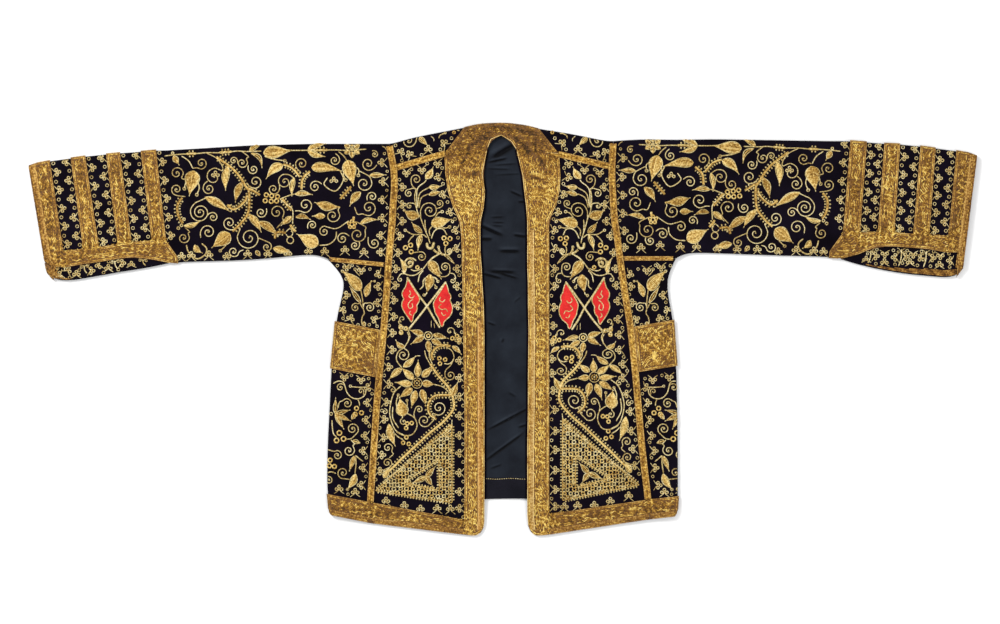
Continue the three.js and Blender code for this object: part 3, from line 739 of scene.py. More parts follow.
# ---- motifs, drawn on a plan grid ----
class Stitcher:
    """Draws motifs on one panel, at places of a grid: x to the right and y down as the left half lies."""

    def __init__(self, cords, filled, side, corner, step, shift):
        self.cords, self.filled, self.side = cords, filled, side
        self.corner, self.step, self.shift = corner, step, shift

    def plan(self, points):
        """Places of the grid as places of the plan, in mm."""
        p = np.asarray(points, float)
        out = self.corner[0] - p[:, 0] * self.step
        y = self.corner[1] - p[:, 1] * self.step
        if self.side == "right":
            out, y = self.shift(out, y)
        return np.stack([SIDES[self.side] * out + CENTRE[0], y + CENTRE[1]], axis=1)

    def curve(self, *points, width=1.8, end=None):
        """A cord through the places. end is the radius of a ring at its last one, mm."""
        line = flowing(self.plan(points))
        self.cords.lay(line, width)
        if end:
            self.ring(points[-1][0], points[-1][1], end, width=1.4)

    def ring(self, x, y, r, width=1.7, filled=False):
        """A closed ring. Its radius is in mm."""
        centre = self.plan([(x, y)])[0]
        line = circle(centre, r, max(8, int(r * 4)) + 1)
        (self.filled if filled else self.cords).lay(line, width, taper=False)

    def spiral(self, x, y, r, start, hand, *stem, turns=1.55, width=1.6):
        """A stem that winds into a spiral. start is where it joins, degrees; hand 1 winds anticlockwise."""
        t = np.linspace(0, 1, max(6, int(turns * 9)))
        a = np.radians(start) + hand * t * turns * 2 * math.pi
        radius = r * (1 - 0.88 * t**0.9)
        coil = [(x + q * math.cos(b), y - q * math.sin(b)) for q, b in zip(radius, a)]
        if not stem:
            b = math.radians(start - hand * 38)
            stem = [(x + 1.22 * r * math.cos(b), y - 1.22 * r * math.sin(b))]
        self.cords.lay(flowing(self.plan(list(stem) + coil)), width)
        if r * self.step > 5:
            self.ring(x, y, 0.5, width=1.5)

    def leaf(self, base, tip, width, bend=0.0, full=0.8):
        """A filled leaf or bud from base to tip. Its fullest part is nearer the base where full is small."""
        base, tip = np.array(base, float), np.array(tip, float)
        way = tip - base
        side = np.array([-way[1], way[0]]) / np.linalg.norm(way)
        t = np.linspace(0, 1, 15)
        spine = base + way * t[:, None] + side * (bend * np.sin(math.pi * t))[:, None]
        half = width / 2 * np.sin(math.pi * t**full) ** 1.25
        lanes = max(2, int(round(width * self.step / 1.75)))
        for f in np.linspace(-1, 1, lanes):
            line = spaced(self.plan(spine + side * (half * f)[:, None]), 1.6)
            lift = 0.7 * (1 - f * f) * np.sin(math.pi * np.linspace(0, 1, len(line)))
            outer = abs(f) == 1
            (self.cords if outer else self.filled).lay(line, 1.5 if outer else 1.8, lift=lift, sides=3)
        if np.linalg.norm(way) * self.step > 13:
            lead = spine[-1] - spine[-3]
            lead *= 3.4 / self.step / np.linalg.norm(lead)
            self.curve(spine[-1], spine[-1] + lead * 0.6, spine[-1] + lead + side * lead[0] * 0.1, width=1.4)

    def beaded(self, *points, reach=3.7, pitch=4.9, thin=False):
        """A vine of two cords, or one thin one, with small beads to both sides."""
        line = flowing(self.plan(points), 1.2)
        out = leftward(line)
        for k in (0,) if thin else (-0.85, 0.85):
            self.filled.lay(line + out * k, 1.5 if thin else 1.9, sides=3)
        stops = spaced(line, pitch)
        if len(stops) < 3:
            return
        for p, out in zip(stops[1:-1], leftward(stops)[1:-1]):
            for k in (-1, 1):
                spot = p + out * k * reach
                self.cords.lay([spot - out * 1.4, spot, spot + out * 1.4], 2.9, rise=1.4, tone=0.4)

    def trefoil(self, x, y, heading, size=1.0, legs=0.0):
        """Three small rings that point along a heading, degrees. Two stems run back from them by legs, mm."""
        centre = self.plan([(x, y)])[0]
        if self.side == "right":
            heading = 180 - heading
        trefoil(self.cords, self.filled, centre, heading, size, legs)

    def flower(self, x, y, petals, inner, outer, width, start=90, ring=2.6):
        """Leaves round two rings, each from inner to outer off the middle. start is the first's heading."""
        for k in range(petals):
            a = math.radians(start + 360 * k / petals)
            way = np.array([math.cos(a), -math.sin(a)])
            centre = np.array([x, y])
            self.leaf(centre + way * inner, centre + way * outer, width, full=0.75)
        self.ring(x, y, ring)
        self.ring(x, y, ring * 0.35, width=1.6)

    def eye(self, x, y, r):
        """A flower's centre: a thin ring, and within it eight beads round a small ring."""
        self.ring(x, y, r, width=1.3)
        for k in range(8):
            a = 2 * math.pi * k / 8
            reach = 0.56 * r / self.step
            self.ring(x + reach * math.cos(a), y + reach * math.sin(a), 0.6, width=1.5, filled=True)
        self.ring(x, y, 0.7, width=1.6)

    def lattice(self, outer, inner, pitch):
        """Small rings and curls between two triangles, linked by short slanted stems."""
        outer, inner = np.array(outer, float), np.array(inner, float)
        low, high = outer.min(axis=0), outer.max(axis=0)
        draw = self.cords.random
        free = lambda spot: inside(np.array([spot]), outer)[0] and not inside(np.array([spot]), inner)[0]
        for row, y in enumerate(np.arange(low[1] + pitch * 0.5, high[1], pitch * 0.62)):
            for x in np.arange(low[0] + (row % 2) * pitch / 2, high[0], pitch):
                off = [pitch * 0.12 * (draw.random() - 0.5) for _ in range(2)]
                spot = np.array([x + off[0], y + off[1]])
                if not free(spot):
                    continue
                self.ring(*spot, 2.2 + 0.8 * draw.random(), width=1.8, filled=draw.random() < 0.6)
                for lean in (-1, 1):
                    tip = spot + np.array([lean * pitch / 2, pitch * 0.62])
                    middle = (spot + tip) / 2 + np.array([pitch * 0.16 * (draw.random() - 0.5), 0])
                    if free(middle) and free(tip):
                        self.curve(spot + (tip - spot) * 0.2, middle, spot + (tip - spot) * 0.8, width=1.5)

    def cluster(self, x, y, spots, r=2.2):
        """A group of rings round a place."""
        for dx, dy in spots:
            centre = self.plan([(x + dx, y + dy)])[0]
            self.filled.lay(circle(centre, r, max(9, int(r * 4))), 2.2, taper=False, tone=0.7)


def trefoil(cords, filled, centre, heading, size, legs):
    """Three small rings on two stems that part as they go back to the border."""
    tone = 0.25 + 0.5 * cords.random.random()
    for turn in (-95, 0, 95):
        a = math.radians(heading + turn)
        spot = centre + 3.8 * size * np.array([math.cos(a), math.sin(a)])
        cords.lay(circle(spot, 2.0 * size, 9), 1.75 * size, taper=False, sides=3, tone=tone)
    a = math.radians(heading)
    ahead, aside = np.array([math.cos(a), math.sin(a)]), np.array([-math.sin(a), math.cos(a)])
    filled.lay([centre - ahead, centre, centre + ahead * 1.4], 2.2 * size, sides=3)
    if legs:
        for k in (-1, 1):
            knee = centre - ahead * legs * 0.45 + aside * k * 2.2
            foot = centre - ahead * legs + aside * k * 7.5
            cords.lay(flowing([centre, knee, foot]), 1.15, sides=3)


GARLAND_PITCH = 26  # between trefoils along a border's edge, mm
GARLAND_START = 0.25  # where the first one stands, as a share of that
GARLAND_REACH = 7.6  # how far they stand off the edge, mm


def garland(cords, filled, line):
    """Trefoils on wishbone stems along a border's edge, with a small ring between each two."""
    length = np.linalg.norm(np.diff(line, axis=0), axis=1).sum()
    count = max(1, int(round(length / GARLAND_PITCH)))
    fine = spaced(line, 1.0)
    out = -leftward(fine)
    for k in range(count):
        i = min(len(fine) - 1, int((k + GARLAND_START) / count * len(fine)))
        heading = math.degrees(math.atan2(out[i][1], out[i][0]))
        trefoil(cords, filled, fine[i] + out[i] * GARLAND_REACH, heading, 1.0, GARLAND_REACH * 0.98)
        j = int((k + GARLAND_START + 0.5) / count * len(fine))
        if j < len(fine):
            cords.lay(circle(fine[j] + out[j] * 4.4, 2.3, 11), 1.1, taper=False, sides=3)


# ---- cloth ----
def refined(mesh):
    """Cuts the upper faces near the lining's creases finer."""
    bm = bmesh.new()
    bm.from_mesh(mesh)
    near_one = set()
    for face in bm.faces:
        spot = face.calc_center_median() / MM
        if face.normal.z < 0.5:
            continue
        for crease in LINING_CREASES:
            along, across = creased(spot.x, spot.y, crease)
            if abs(along) < 1.8 * crease[3] + 3 and abs(across) < 4 * crease[4] + 3:
                near_one.update(face.edges)
                break
    bmesh.ops.subdivide_edges(bm, edges=list(near_one), cuts=3, use_grid_fill=True)
    bm.to_mesh(mesh)
    bm.free()


def draped(mesh):
    """The lining: soft crossing ripples, and small sharp creases whose shade in the trough and highlight on
    the ridge beside it are also painted, as a number on the points.
    """
    refined(mesh)
    points = points_of(mesh)
    x, y = points[:, 0], points[:, 1]
    total = 0.22 * np.sin(y / 9.5 + 0.6 * np.sin(x / 23)) + 0.16 * np.sin(x / 6.1 + 0.8 * np.sin(y / 41))
    painted_crease_shading = np.full(len(x), 0.5)
    for crease in LINING_CREASES:
        long, wide, depth = crease[3:]
        along, across = creased(x, y, crease)
        bank = 0.8 * np.exp(-((across / (2.6 * wide)) ** 2)) - 1.5 * np.exp(-((across / wide) ** 2))
        total = total + depth * np.exp(-((along / long) ** 2)) * bank
        # Painted crease shading: darker in each crease's trough, lighter on the ridge beside it.
        ridge = np.exp(-(((across - 2 * wide) / (1.3 * wide)) ** 2))
        crease_light_and_shade = 0.5 * ridge - np.exp(-((across / (1.35 * wide)) ** 2))
        painted_crease_shading = painted_crease_shading + min(0.9, 0.75 * depth) * np.exp(-((along / long) ** 4)) * crease_light_and_shade
    points[:, 2] += total * np.clip((points[:, 2] - 2.6) / 0.8, 0, 1)
    move_points(mesh, points)
    mesh.attributes.new("painted_crease_shading", "FLOAT", "POINT").data.foreach_set("value", np.clip(painted_crease_shading, 0, 1))


# The lining's small creases: x, y, degrees, half length, half width and depth, mm.
LINING_CREASES = [
    (-17, 148, -24, 17, 2.0, 1.6),
    (26, 140, -8, 9, 1.5, 1.4),
    (10, 117, 0, 14, 2.0, 1.6),
    (-17, 80, -15, 14, 1.4, 1.4),
    (-1, 86, -2, 17, 1.8, 1.5),
    (9, 80, -16, 12, 1.1, 1.1),
    (-26, 135, 0, 9, 1.9, 1.3),
    (20, 203, -24, 9, 1.3, 0.9),
    (30, 191, 0, 6, 1.3, 1.2),
    (1, 267, 31, 18, 3.4, 2.0),
    (-8, 253, 12, 13, 1.3, 1.2),
    (4, 247, 4, 16, 1.1, 0.6),
    (-6, 240, -2, 16, 1.1, 0.6),
    (8, 232, 3, 18, 1.1, 0.5),
    (-8, 168, 2, 9, 1.0, 0.7),
    (-6, 160, 0, 8, 1.0, 0.7),
    (-8, 155, -4, 8, 1.0, 0.6),
    (10, -134, 28, 32, 1.5, 1.7),
    (2, -177, 36, 32, 1.5, 1.5),
    (31, -145, 15, 7, 1.4, 1.0),
    (-17, 8, -20, 6, 1.2, 0.8),
    (0, -17, 60, 3, 1.6, 0.6),
    (22, 44, 40, 6, 1.2, 0.4),
    (14, -98, -30, 6, 1.3, 0.5),
    (-10, -206, 20, 8, 1.3, 0.6),
]

cloth = {"back": shell("back", CLOTH, 1)}
for side in SIDES:
    for panel in ("front", "side", "sleeve", "sleeve_gusset"):
        cloth[f"{panel}_{side}"] = shell(f"{panel}_{side}", CLOTH, 2)
lining = shell("back_lining", LINING, 2, form=draped)
facing_strip = shell("hem_facing", FACING, 2, form=draped)

# ---- gold borders ----
GROUNDS = ["neck_border"] + [
    f"{name}_{side}{number}"
    for side in SIDES
    for name, number in (
        ("front_border", ""),
        ("hem_border_front", ""),
        ("hem_border_side", ""),
        ("waist_band", ""),
        ("sleeve_stripe", "_1"),
        ("sleeve_stripe", "_2"),
        ("sleeve_stripe", "_3"),
        ("sleeve_band", ""),
        ("cuff_border", ""),
        ("gusset_border", ""),
        ("seam_strip", ""),
        ("shoulder_strip", ""),
        ("underarm_strip", ""),
    )
]
outlines = {node: outline(node) for node in GROUNDS}
grounds = {node: shell(node, GROUND, 1, name=node + "_ground") for node in GROUNDS}
whole = tree_of(*cloth.values(), *grounds.values())
worked = {}


def worked_over(node, rows=WORN):
    """Empty cords for a border, its edges and its straight rows, to be filled and then made into pieces."""
    worked[node] = ((Cords(whole), COUCHING), (Cords(whole), EDGE), (Cords(whole), rows))
    return [cords for cords, _ in worked[node]]


FRONT_EDGES = ("front_border_left", "front_border_right")
couching("neck_border", worked_over("neck_border"), 0, joins=FRONT_EDGES, grain=1)
for side, way in SIDES.items():
    def of(name, number=""):
        return f"{name}_{side}{number}"

    stripes = [of("sleeve_stripe", f"_{k}") for k in (1, 2, 3)]
    node = of("front_border")
    layers = worked_over(node, ORANGE if side == "left" else EDGE)
    couching(node, layers, 90, ("neck_border", of("hem_border_front")), rows=3, way=(-way, 0), grain=1)
    for name, heading, joins, rows, facing_way in (
        ("hem_border_front", 0, [of("front_border"), of("hem_border_side")], 2, (0, -1)),
        ("hem_border_side", 0, [of("hem_border_front")], 2, (0, -1)),
        ("waist_band", 90 - 38 * way, [], 0, None),
        ("sleeve_band", 0, stripes + [of("cuff_border")], 0, None),
        ("cuff_border", 90, [of("sleeve_band"), of("gusset_border")], 3, (way, 0)),
        ("gusset_border", 90, [of("cuff_border")], 2, (way, 0)),
    ):
        couching(of(name), worked_over(of(name)), heading, joins, rows=rows, way=facing_way)
    for stripe in stripes:
        couching(stripe, worked_over(stripe), 90, [of("sleeve_band")])
    strip_cords(of("seam_strip"), worked_over(of("seam_strip")), (1, 0))
    strip_cords(of("shoulder_strip"), worked_over(of("shoulder_strip")), (0, 1), (6, 6))
    strip_cords(of("underarm_strip"), worked_over(of("underarm_strip")), (0, 1), (0, 2), count=3)


def light_edge(node, way, joins=()):
    """One light cord along the edge of a border by the opening, but not where it meets those it joins."""
    line = spaced(facing(outlines[node], way, 0.08), 1.8)
    other = np.vstack([spaced(outlines[n], 1.5) for n in joins] or [np.empty((0, 2))])
    inward = leftward(line)
    tone = 0.9 + 0.4 * np.sin(np.arange(len(line)) * 0.31)
    for run in runs(~near(line, other, 1.4)):
        worked[node][1][0].lay((line + inward * 0.7)[run], 1.0, lift=0.5, sides=3, tone=tone[run])


light_edge("neck_border", (0, -1), FRONT_EDGES)
for side, way in SIDES.items():
    light_edge(f"front_border_{side}", (-way, 0))

# ---- the dark piping inside the fronts' gold edges, and the stitches of the hem facing ----
inner = tree_of(lining, facing_strip)
piping = {}
for side, way in SIDES.items():
    run = spaced(facing(outlines[f"front_border_{side}"], (-way, 0), 0.2), 2.5)
    cords = Cords(inner)
    for k in (0.5, 2.0):
        cords.lay(run + np.array([-way * k, 0]), 2.2, rise=1.0, sides=3, taper=False)
    piping[side] = cords.piece(f"piping_{side}", CLOTH, "cloth")
tacking = Cords(inner)
for x in np.arange(-26, 34, 3.4):
    y = -224.2 + 0.5 * math.sin(x / 7)
    tacking.lay([(x, y), (x + 1.0, y + 0.1), (x + 2.0, y)], 0.9, sides=3, taper=False)
tacking = tacking.piece("facing_stitches", CORD, "facing")


# ---- embroidery ----
def over(*names):
    """A tree of the cloth and gold under some embroidery."""
    return tree_of(*(cloth[n] for n in names))


def sleeve_outer(s):
    """The part of a sleeve towards the stripes."""
    s.curve((0, 225), (190, 205), (400, 195), (520, 185), (700, 185), (900, 165), (1000, 170), (1200, 165))
    s.beaded((270, 200), (390, 195))
    s.beaded((680, 185), (830, 172))
    s.ring(100, 190, 1.8)
    s.leaf((110, 225), (170, 320), 70)
    s.leaf((1050, 165), (1190, 85), 60, bend=-14)
    s.leaf((1225, 190), (1560, 160), 150, full=0.62)
    s.curve((1240, 230), (1350, 265), (1490, 285), end=2.0)
    s.curve((210, 225), (300, 290), (350, 380))
    s.leaf((360, 410), (310, 700), 180, full=0.6)
    s.curve((390, 500), (430, 610), (400, 705), end=2.2)
    s.curve((330, 480), (270, 540), (245, 630), end=2.2)
    s.spiral(455, 315, 80, 225, 1, (350, 380))
    s.spiral(150, 440, 90, 315, 1, (300, 520))
    s.spiral(150, 640, 75, 270, -1, (260, 730))
    s.spiral(615, 490, 130, 40, 1, (520, 190), (640, 250), (710, 340), turns=1.15)
    s.trefoil(630, 460, 90)
    s.spiral(550, 630, 80, 135, 1)
    s.spiral(960, 310, 75, 45, -1, (960, 170), (1040, 235))
    s.spiral(855, 285, 50, 0, 1)
    s.spiral(1100, 390, 65, 180, 1)
    s.spiral(1125, 545, 90, 225, 1)
    s.spiral(1490, 545, 100, 60, 1)
    s.spiral(1350, 635, 75, 0, -1)
    s.spiral(440, 925, 130, 120, 1, (520, 740), (440, 780), turns=2.3)
    s.spiral(600, 985, 65, 135, -1)
    s.spiral(805, 1055, 85, 270, -1)
    s.spiral(235, 1240, 80, 45, -1, (250, 1110), (310, 1165))
    s.spiral(540, 1170, 95, 180, -1)
    s.spiral(1195, 925, 70, 0, -1)
    s.spiral(1390, 925, 100, 315, 1, (1390, 1120), (1470, 1030))
    s.spiral(1050, 1240, 160, 135, 1, (910, 1120), turns=1.9)
    s.spiral(1265, 1355, 70, 90, -1, (1160, 1240))
    s.spiral(855, 1410, 75, 0, -1, (980, 1390))
    s.curve((270, 1330), (300, 1420), (400, 1500), (500, 1450), (520, 1370), (460, 1310), width=2.3)
    s.leaf((370, 1330), (450, 1420), 70, bend=18)
    s.leaf((1070, 190), (1205, 350), 50, bend=-46)
    s.beaded((640, 235), (760, 320), (850, 390), (930, 480), (970, 540), (1010, 610), (1045, 650))
    s.beaded((1045, 650), (1050, 780), (1035, 930), (980, 1020), (920, 1090), (840, 1160))
    s.leaf((790, 350), (755, 630), 90, bend=20)
    s.leaf((960, 550), (880, 780), 84, bend=16)
    s.leaf((1040, 950), (1190, 1150), 84, bend=-16)
    s.leaf((1460, 330), (1270, 490), 110, bend=26, full=0.6)
    s.cluster(1320, 750, ((-58, -42), (-72, 30), (2, 38), (68, 34), (80, -20), (8, -30)), r=3.0)
    s.leaf((500, 735), (790, 900), 95, bend=-14)
    s.ring(800, 850, 2.0, filled=True)
    s.beaded((220, 740), (165, 820), (160, 920), (190, 1010), (230, 1060))
    for x, y in ((240, 1010), (210, 1085), (170, 1120)):
        s.ring(x, y, 2.0)
    s.leaf((240, 1090), (430, 1040), 56, bend=20)
    s.leaf((810, 1190), (600, 1350), 170, full=0.62)
    s.curve((800, 1230), (760, 1330), (690, 1400), end=2.0)
    s.leaf((1160, 1040), (1390, 1200), 90, bend=-20)
    s.leaf((1345, 1370), (1540, 1410), 84)
    s.leaf((1130, 1400), (1185, 1465), 50)
    for x, y in ((210, 1500), (330, 1490), (550, 1480), (770, 1500), (1030, 1470), (1280, 1470)):
        s.trefoil(x, y - 30, 90, legs=8.5)
    s.beaded((774, 833), (861, 886), (983, 798), (1026, 711))
    s.beaded((1017, 624), (1087, 650), (1183, 711))
    s.beaded((1453, 746), (1505, 816), (1575, 903))
    s.beaded((1366, 1251), (1383, 1181), (1440, 1168), (1505, 1181))
    s.curve((1505, 1165), (1550, 1128), (1588, 1165), (1575, 1215), (1530, 1225), (1505, 1195), width=1.5)


def sleeve_inner(s):
    """The part of a sleeve towards the armhole."""
    s.curve((0, 150), (150, 165), (340, 165), (680, 160), (850, 165), (1090, 150))
    s.beaded((420, 165), (600, 160))
    s.leaf((350, 155), (560, 85), 70, bend=-16)
    s.leaf((350, 170), (550, 240), 70, bend=16)
    s.flower(910, 150, 6, 34, 112, 62, start=30)
    s.curve((740, 180), (800, 230), (840, 285))
    s.leaf((850, 290), (925, 590), 170, full=0.62)
    s.curve((900, 360), (990, 400), (990, 480), end=2.2)
    s.curve((840, 380), (800, 460), (830, 540), end=2.2)
    s.beaded((900, 620), (850, 680), (760, 780), reach=3.2, pitch=4.6)
    s.leaf((400, 380), (760, 420), 120, bend=-20, full=0.55)
    s.curve((760, 420), (800, 540), (700, 680), (560, 600), (600, 510))
    s.trefoil(680, 550, 90)
    s.spiral(275, 335, 85, 225, -1)
    s.spiral(690, 290, 70, 45, -1)
    s.spiral(1115, 335, 90, 315, -1)
    s.spiral(1195, 215, 45, 90, -1)
    s.spiral(1060, 585, 110, 45, -1, (990, 420), (1090, 470))
    s.spiral(445, 625, 75, 60, 1)
    s.spiral(1165, 750, 65, 180, -1)
    s.spiral(1120, 890, 110, 225, 1, (940, 880), (980, 970))
    s.spiral(320, 855, 105, 225, 1, (190, 930))
    s.spiral(665, 990, 100, 45, -1, (760, 880))
    s.spiral(410, 1110, 60, 180, -1)
    s.spiral(560, 1190, 75, 45, 1, (870, 1055), (720, 1150))
    s.spiral(790, 1280, 75, 60, 1)
    s.spiral(980, 1230, 110, 30, -1, (960, 1065), (1080, 1130))
    s.spiral(945, 1365, 60, 0, -1)
    s.spiral(1190, 1335, 75, 180, 1, (1115, 1260))
    s.leaf((1020, 690), (890, 850), 90, bend=16)
    s.leaf((760, 880), (460, 830), 110, bend=-20, full=1.3)
    s.leaf((570, 995), (430, 995), 70)
    s.leaf((180, 510), (150, 720), 64, bend=14)
    s.leaf((190, 720), (390, 720), 64, bend=-14)
    s.leaf((200, 1010), (370, 1030), 56, bend=-24)
    s.leaf((150, 1000), (30, 1100), 70)
    s.leaf((1130, 480), (1320, 475), 60)
    s.leaf((1010, 1090), (1220, 1040), 56, bend=-22)
    s.curve((0, 780), (130, 730), (190, 715))
    s.curve((0, 780), (90, 850), (160, 920), (160, 1100))
    s.beaded((270, 660), (290, 520), (380, 430))
    s.beaded((41, 341), (120, 366), (183, 412), (254, 500))
    s.beaded((130, 1103), (160, 1150), (201, 1192))
    s.cluster(910, 1100, ((0, -40), (38, -12), (24, 32), (-24, 32), (-38, -12)), r=2.2)
    s.beaded((925, 1060), (930, 1030), (935, 1000))
    s.leaf((480, 1360), (230, 1230), 170, full=0.62)
    s.curve((715, 1190), (700, 1280), (620, 1350), (500, 1365))
    s.ring(130, 1300, 5.0)
    for x, y in ((1285, 320), (1300, 560), (1290, 790), (1290, 1020), (1270, 1240), (1270, 1450)):
        s.trefoil(x, y, 180, legs=8.5)
    s.curve((1349, 165), (1325, 130), (1290, 112), width=1.3)
    for x, y in ((1320, 206), (1355, 430), (1350, 670), (1355, 890), (1330, 1110), (1330, 1330)):
        s.ring(x, y, 1.8, width=1.2)
    for x, y in ((100, 1470), (360, 1440), (565, 1440), (820, 1420), (1060, 1450)):
        s.trefoil(x, y, 90, legs=8.5)


def front_upper(s):
    """The upper part of a front, from the shoulder to the bust."""
    for x, y in ((210, 570), (210, 780), (210, 980), (180, 1160), (160, 1360)):
        s.trefoil(x, y, 0, legs=8)
    for x, y in ((260, 400), (445, 365), (635, 290)):
        s.trefoil(x, y, 270, legs=8)
    for x, y in ((640, 450), (700, 660), (785, 870), (850, 1090), (860, 1310)):
        s.trefoil(x, y, 195, legs=8)
    for x, y in ((175, 480), (172, 690), (150, 905), (145, 1085), (118, 1275), (100, 1470), (320, 355),
                 (510, 285), (690, 340), (700, 530), (755, 750), (845, 955), (880, 1180), (895, 1400)):
        s.ring(x, y, 2.2, width=1.1)
    s.curve((545, 1250), (520, 1170), (470, 1050), (430, 940), (390, 860), (360, 700), (375, 600))
    s.curve((390, 820), (390, 600), (480, 510), (500, 480))
    s.curve((400, 800), (420, 650), (530, 575))
    s.curve((410, 820), (440, 700), (530, 650))
    s.leaf((490, 470), (575, 345), 78, bend=12, full=0.8)
    s.leaf((530, 570), (665, 560), 62, bend=8)
    s.leaf((530, 664), (668, 630), 52, bend=-6)
    s.spiral(378, 478, 68, 205, -1, (388, 600), (336, 560))
    s.spiral(288, 646, 52, 75, 1, (385, 596), (340, 584))
    s.spiral(297, 798, 41, 60, 1, (386, 846), (362, 776), turns=1.3)
    s.spiral(540, 855, 110, 180, -1, turns=1.8)
    s.spiral(659, 766, 48, 290, 1, (622, 832))
    s.spiral(440, 1410, 60, 90, -1, (340, 1360))
    s.spiral(300, 1490, 70, 60, 1, width=2.6)
    s.spiral(775, 1338, 40, 265, 1, (700, 1372), (742, 1388), turns=1.3)
    s.leaf((410, 930), (240, 860), 110, bend=-14)
    s.ring(232, 848, 1.5, width=1.3)
    s.leaf((560, 1018), (790, 962), 130, full=0.62)
    s.curve((600, 950), (640, 885), (690, 866), end=2.0)
    s.curve((640, 1040), (720, 1064), (780, 1050), end=2.0)
    s.ring(815, 985, 1.8)
    s.curve((545, 1160), (535, 1090), (570, 1040))
    s.curve((500, 1110), (486, 1040), (484, 962))
    s.leaf((450, 1120), (335, 1010), 62, bend=-8)
    s.leaf((440, 1140), (400, 1310), 62, bend=8)
    s.curve((510, 1180), (450, 1140), (340, 1140), (245, 1090), end=1.8)
    s.curve((350, 1150), (310, 1190), (280, 1240))
    s.cluster(290, 1300, ((-42, 0), (20, -30), (28, 50)), r=3.0)
    s.cluster(745, 1205, ((-32, -20), (40, -14), (-10, 45)), r=3.0)
    s.curve((505, 1240), (520, 1300), (570, 1300), (592, 1232), width=4.2)
    s.curve((560, 1190), (590, 1110), (640, 1072), (705, 1080), (750, 1150))
    s.curve((742, 1262), (724, 1312), (734, 1384))
    s.curve((580, 1330), (640, 1370), (700, 1380), (820, 1480))
    s.curve((640, 1385), (560, 1440), (520, 1500))
    s.curve((650, 1290), (664, 1340), (690, 1378), end=1.3)


def shoulder(s):
    """What shows of the back above the shoulder seam."""
    s.spiral(287, 12, 86, 350, -1, (388, -40), turns=1.5)
    for x, y, heading in ((194, 147, 60), (298, 176, 120), (523, 114, 90), (713, 40, 135)):
        s.trefoil(x, y, heading, legs=8)
    for x, y in ((128, 67), (205, 250), (443, 182), (668, 116), (803, -19)):
        s.ring(x, y, 2.2, width=1.1)
    s.leaf((415, -30), (508, 60), 58, full=0.6)
    s.curve((554, -44), (588, -14), (590, 18), width=1.3)
    s.curve((650, -16), (665, -54), (727, -84), end=1.5)
    s.ring(833, -88, 2.0, width=2.2, filled=True)
    s.curve((870, -118), (900, -108))


def pennant_level(s):
    """What surrounds the two pennants of a front."""
    for x, y in ((410, 60), (400, 320), (378, 550), (375, 810), (355, 1065)):
        s.trefoil(x, y, 0, legs=8)
    for x, y in ((345, 205), (335, 455), (315, 690), (302, 950)):
        s.ring(x, y, 2.2, width=1.1)
    for x, y in ((1365, 60), (1365, 335), (1372, 640), (1385, 915)):
        s.trefoil(x, y, 180, legs=8)
    for x, y in ((1400, 160), (1415, 475), (1432, 765)):
        s.ring(x, y, 2.2, width=1.1)
    s.trefoil(1392, 1180, 180, legs=8)
    s.ring(1440, 1052, 2.2, width=1.1)
    s.curve((1105, -174), (1000, -128), (920, -50), (835, 60), (735, 146), (640, 166), (545, 136), (500, 84))
    s.leaf((545, 130), (478, -90), 66, bend=26)
    s.spiral(630, -30, 72, 150, -1, (505, 60), (516, -40), turns=1.5)
    s.spiral(475, 226, 44, 120, 1, (560, 140), (490, 140), turns=1.3)
    s.cluster(745, 38, ((0, 0),), r=2.4)
    s.curve((640, 66), (690, 92), (770, 78), (820, 52))
    s.curve((838, 86), (780, 160), (756, 270))
    s.curve((1105, -174), (1080, -210), (1075, -280), end=1.6)
    s.curve((1105, -174), (1040, -210), (1000, -250))
    s.spiral(1235, -218, 46, 60, -1, (1190, -160), (1250, -160), turns=1.3)
    s.curve((1105, -174), (1200, -152), (1270, -94), (1325, -14))
    s.leaf((938, -60), (1106, 200), 150, full=0.62)
    s.curve((1060, 70), (1090, 100), (1126, 142))
    s.curve((1010, 190), (1050, 222), (1066, 258), end=1.8)
    s.spiral(1178, 34, 74, 20, 1, (1110, 186), (1200, 176), (1250, 120), turns=1.6)
    s.spiral(1296, 246, 48, 60, -1, (1250, 126), (1320, 146), (1346, 220), turns=1.4)
    s.leaf((944, 150), (895, 420), 140, bend=-10, full=0.7)
    s.curve((895, 420), (886, 452), (850, 471), end=1.8)
    s.curve((880, 196), (836, 250), (834, 330), (782, 384))
    s.curve((990, 186), (1040, 220), (1060, 262))
    s.curve((1010, 300), (1030, 330), (1036, 352), end=1.8)
    s.spiral(510, 846, 52, 250, -1, (478, 960), (448, 880), turns=1.2)
    s.cluster(540, 1020, ((-56, -42), (26, -24), (-50, 40)), r=2.6)
    s.curve((585, 1050), (614, 1120), (594, 1220))
    s.curve((962, 870), (962, 980), width=0.9)
    s.curve((1004, 910), (1016, 990), width=0.9)
    s.spiral(1258, 1040, 78, 330, 1, (1345, 1130), (1344, 1060), turns=1.1)
    s.cluster(1340, 1140, ((-48, 10), (26, -24), (60, 40)), r=2.6)
    s.ring(915, 1110, 6.0, width=1.5)
    s.ring(915, 1110, 2.6, width=2.0, filled=True)
    for base, tip, wide in (
        ((838, 1084), (640, 1024), 84),
        ((845, 1120), (664, 1226), 84),
        ((992, 1094), (1205, 1146), 80),
        ((970, 1170), (1140, 1264), 84),
        ((910, 1190), (935, 1390), 86),
    ):
        s.leaf(base, tip, wide, full=0.7)


